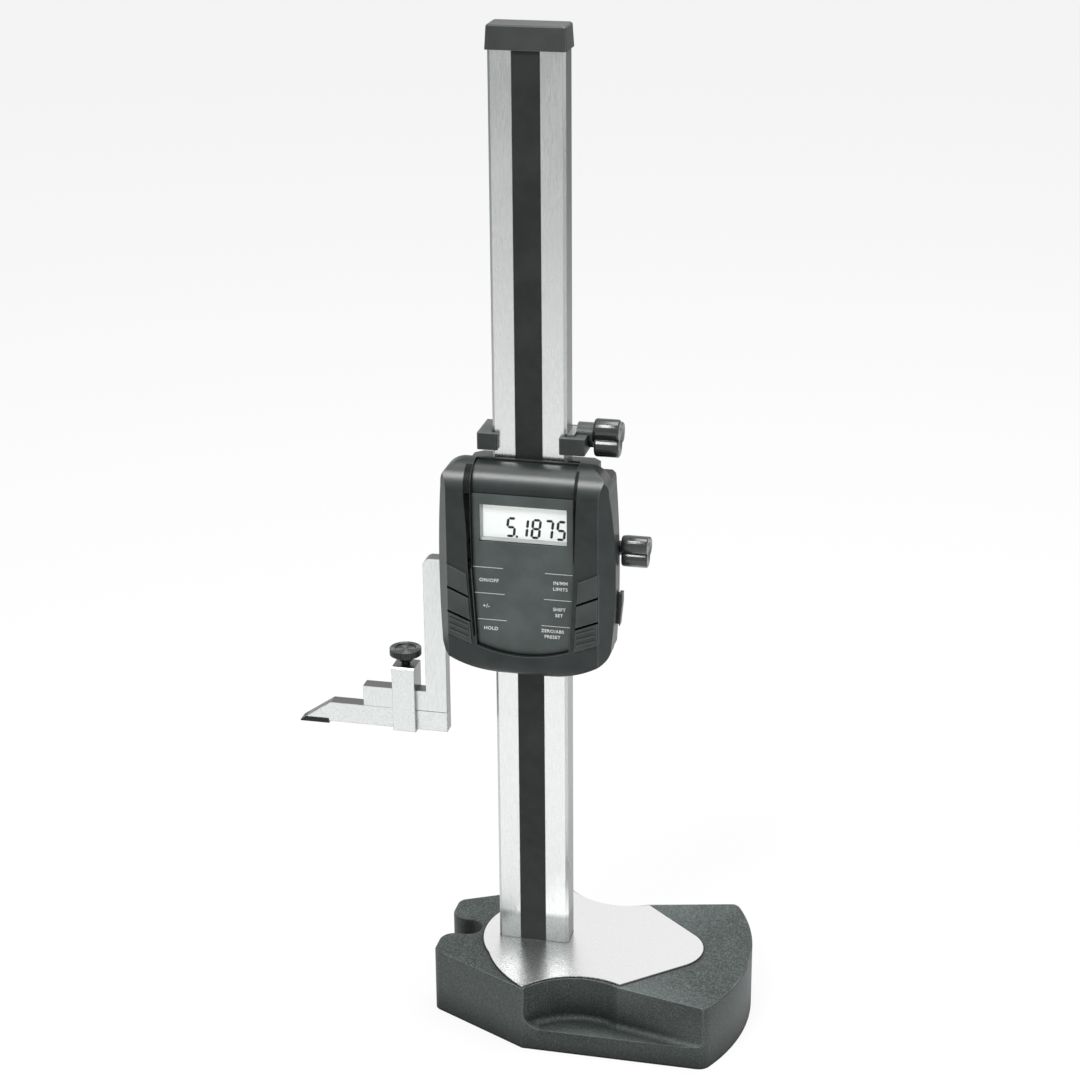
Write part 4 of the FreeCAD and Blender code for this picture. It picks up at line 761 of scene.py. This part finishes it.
def main():
    dress_nodes()
    display_figures()
    display_bezel()
    panel_marks()
    # Sheets of painted shade on the sides of the recess.
    recess_shade_sheet("recess_shade_left", LEFT_SIDE)
    recess_shade_sheet("recess_shade_right", RIGHT_SIDE)
    threaded_rod()
    lobed_knob("lock_knob", "slider_lock_knob", "lock_knob", (0.0, 227.8),
               ring=3.7, lobe=3.9, turn=250, length=11.4)
    lobed_knob("carriage_knob", "carriage_lock_knob", "carriage_knob", (3.0, 277.8),
               ring=4.5, lobe=4.5, turn=245, length=10.8)
    foot_line()
    parting_line()


main()


# Floor, light and camera


FLOOR_GLOW = 0.86
SKY_STRENGTH = 0.26


def rays(mat, *kinds):
    """1 for rays of any of these kinds, else 0."""
    path = add(mat, "LightPath")
    found = path.outputs[kinds[0]]
    for kind in kinds[1:]:
        either = add(mat, "Math", operation="MAXIMUM")
        link(mat, found, either.inputs[0])
        link(mat, path.outputs[kind], either.inputs[1])
        found = either.outputs[0]
    return found


def white_floor():
    """A white floor that glows to the camera but still takes a soft shadow."""
    mesh = bmesh.new()
    bmesh.ops.create_grid(mesh, x_segments=1, y_segments=1, size=6.0)
    data = bpy.data.meshes.new("floor")
    mesh.to_mesh(data)
    mesh.free()
    floor = bpy.data.objects.new("floor", data)
    bpy.context.scene.collection.objects.link(floor)
    mat, shader = blank_material("floor_white", (0.9, 0.9, 0.9), 0.9)
    shader.inputs["Specular IOR Level"].default_value = 0.0
    glow = add(mat, "Emission", Strength=1.0)
    share = add(mat, "Math", operation="MULTIPLY")
    share.inputs[1].default_value = FLOOR_GLOW
    link(mat, rays(mat, "Is Camera Ray", "Is Transmission Ray"), share.inputs[0])
    both = add(mat, "MixShader")
    link(mat, share.outputs[0], both.inputs[0])
    link(mat, shader.outputs[0], both.inputs[1])
    link(mat, glow.outputs[0], both.inputs[2])
    link(mat, both.outputs[0], mat.node_tree.nodes["Material Output"].inputs["Surface"])
    data.materials.append(mat)


def studio_sky():
    """A weak sky for the light, white to the camera and in mirrored rays."""
    world = bpy.data.worlds.new("studio")
    bpy.context.scene.world = world
    world.use_nodes = True
    nodes = world.node_tree.nodes
    nodes["Background"].inputs["Color"].default_value = (0.96, 0.98, 1.0, 1.0)
    nodes["Background"].inputs["Strength"].default_value = SKY_STRENGTH
    white = add(world, "Background", Strength=1.0)
    both = add(world, "MixShader")
    link(world, rays(world, "Is Camera Ray", "Is Transmission Ray", "Is Glossy Ray"),
         both.inputs[0])
    link(world, nodes["Background"].outputs[0], both.inputs[1])
    link(world, white.outputs[0], both.inputs[2])
    link(world, both.outputs[0], nodes["World Output"].inputs["Surface"])


def lamp(name, place, target, size, power):
    """A square soft light that points at a target."""
    data = bpy.data.lights.new(name, "AREA")
    data.size = size
    data.energy = power
    item = bpy.data.objects.new(name, data)
    bpy.context.scene.collection.objects.link(item)
    item.location = place
    aim = Vector(target) - Vector(place)
    item.rotation_euler = aim.to_track_quat("-Z", "Y").to_euler()


CAMERA_PLACE = (0.22794, -0.96234, 0.61572)
CAMERA_TURN, CAMERA_TILT, CAMERA_ROLL = 13.162, 21.386, -0.433
CAMERA_LENS = 81.03


def camera():
    """The photograph's camera: its place, direction, roll and lens."""
    turn, tilt, roll = map(math.radians, (CAMERA_TURN, CAMERA_TILT, CAMERA_ROLL))
    ahead = Vector((-math.sin(turn) * math.cos(tilt), math.cos(turn) * math.cos(tilt),
                    -math.sin(tilt)))
    right = Vector((math.cos(turn), math.sin(turn), 0))
    up = right.cross(ahead)
    side = right * math.cos(roll) + up * math.sin(roll)
    top = -right * math.sin(roll) + up * math.cos(roll)
    data = bpy.data.cameras.new("camera")
    data.sensor_width = 36.0
    data.lens = CAMERA_LENS
    data.clip_start = 0.01
    item = bpy.data.objects.new("camera", data)
    bpy.context.scene.collection.objects.link(item)
    turned = Matrix((side, top, -ahead)).transposed()
    item.matrix_world = Matrix.Translation(CAMERA_PLACE) @ turned.to_4x4()
    bpy.context.scene.camera = item


white_floor()
studio_sky()
lamp("key_light", (-0.35, -0.95, 1.5), (0, 0, 0.2), 0.5, 15)
lamp("top_light", (0.2, 0.15, 1.5), (0, 0, 0.1), 0.9, 17)
lamp("right_light", (1.3, -0.5, 0.6), (0, 0, 0.2), 0.6, 3)
camera()
bpy.context.scene.view_settings.view_transform = "Standard"
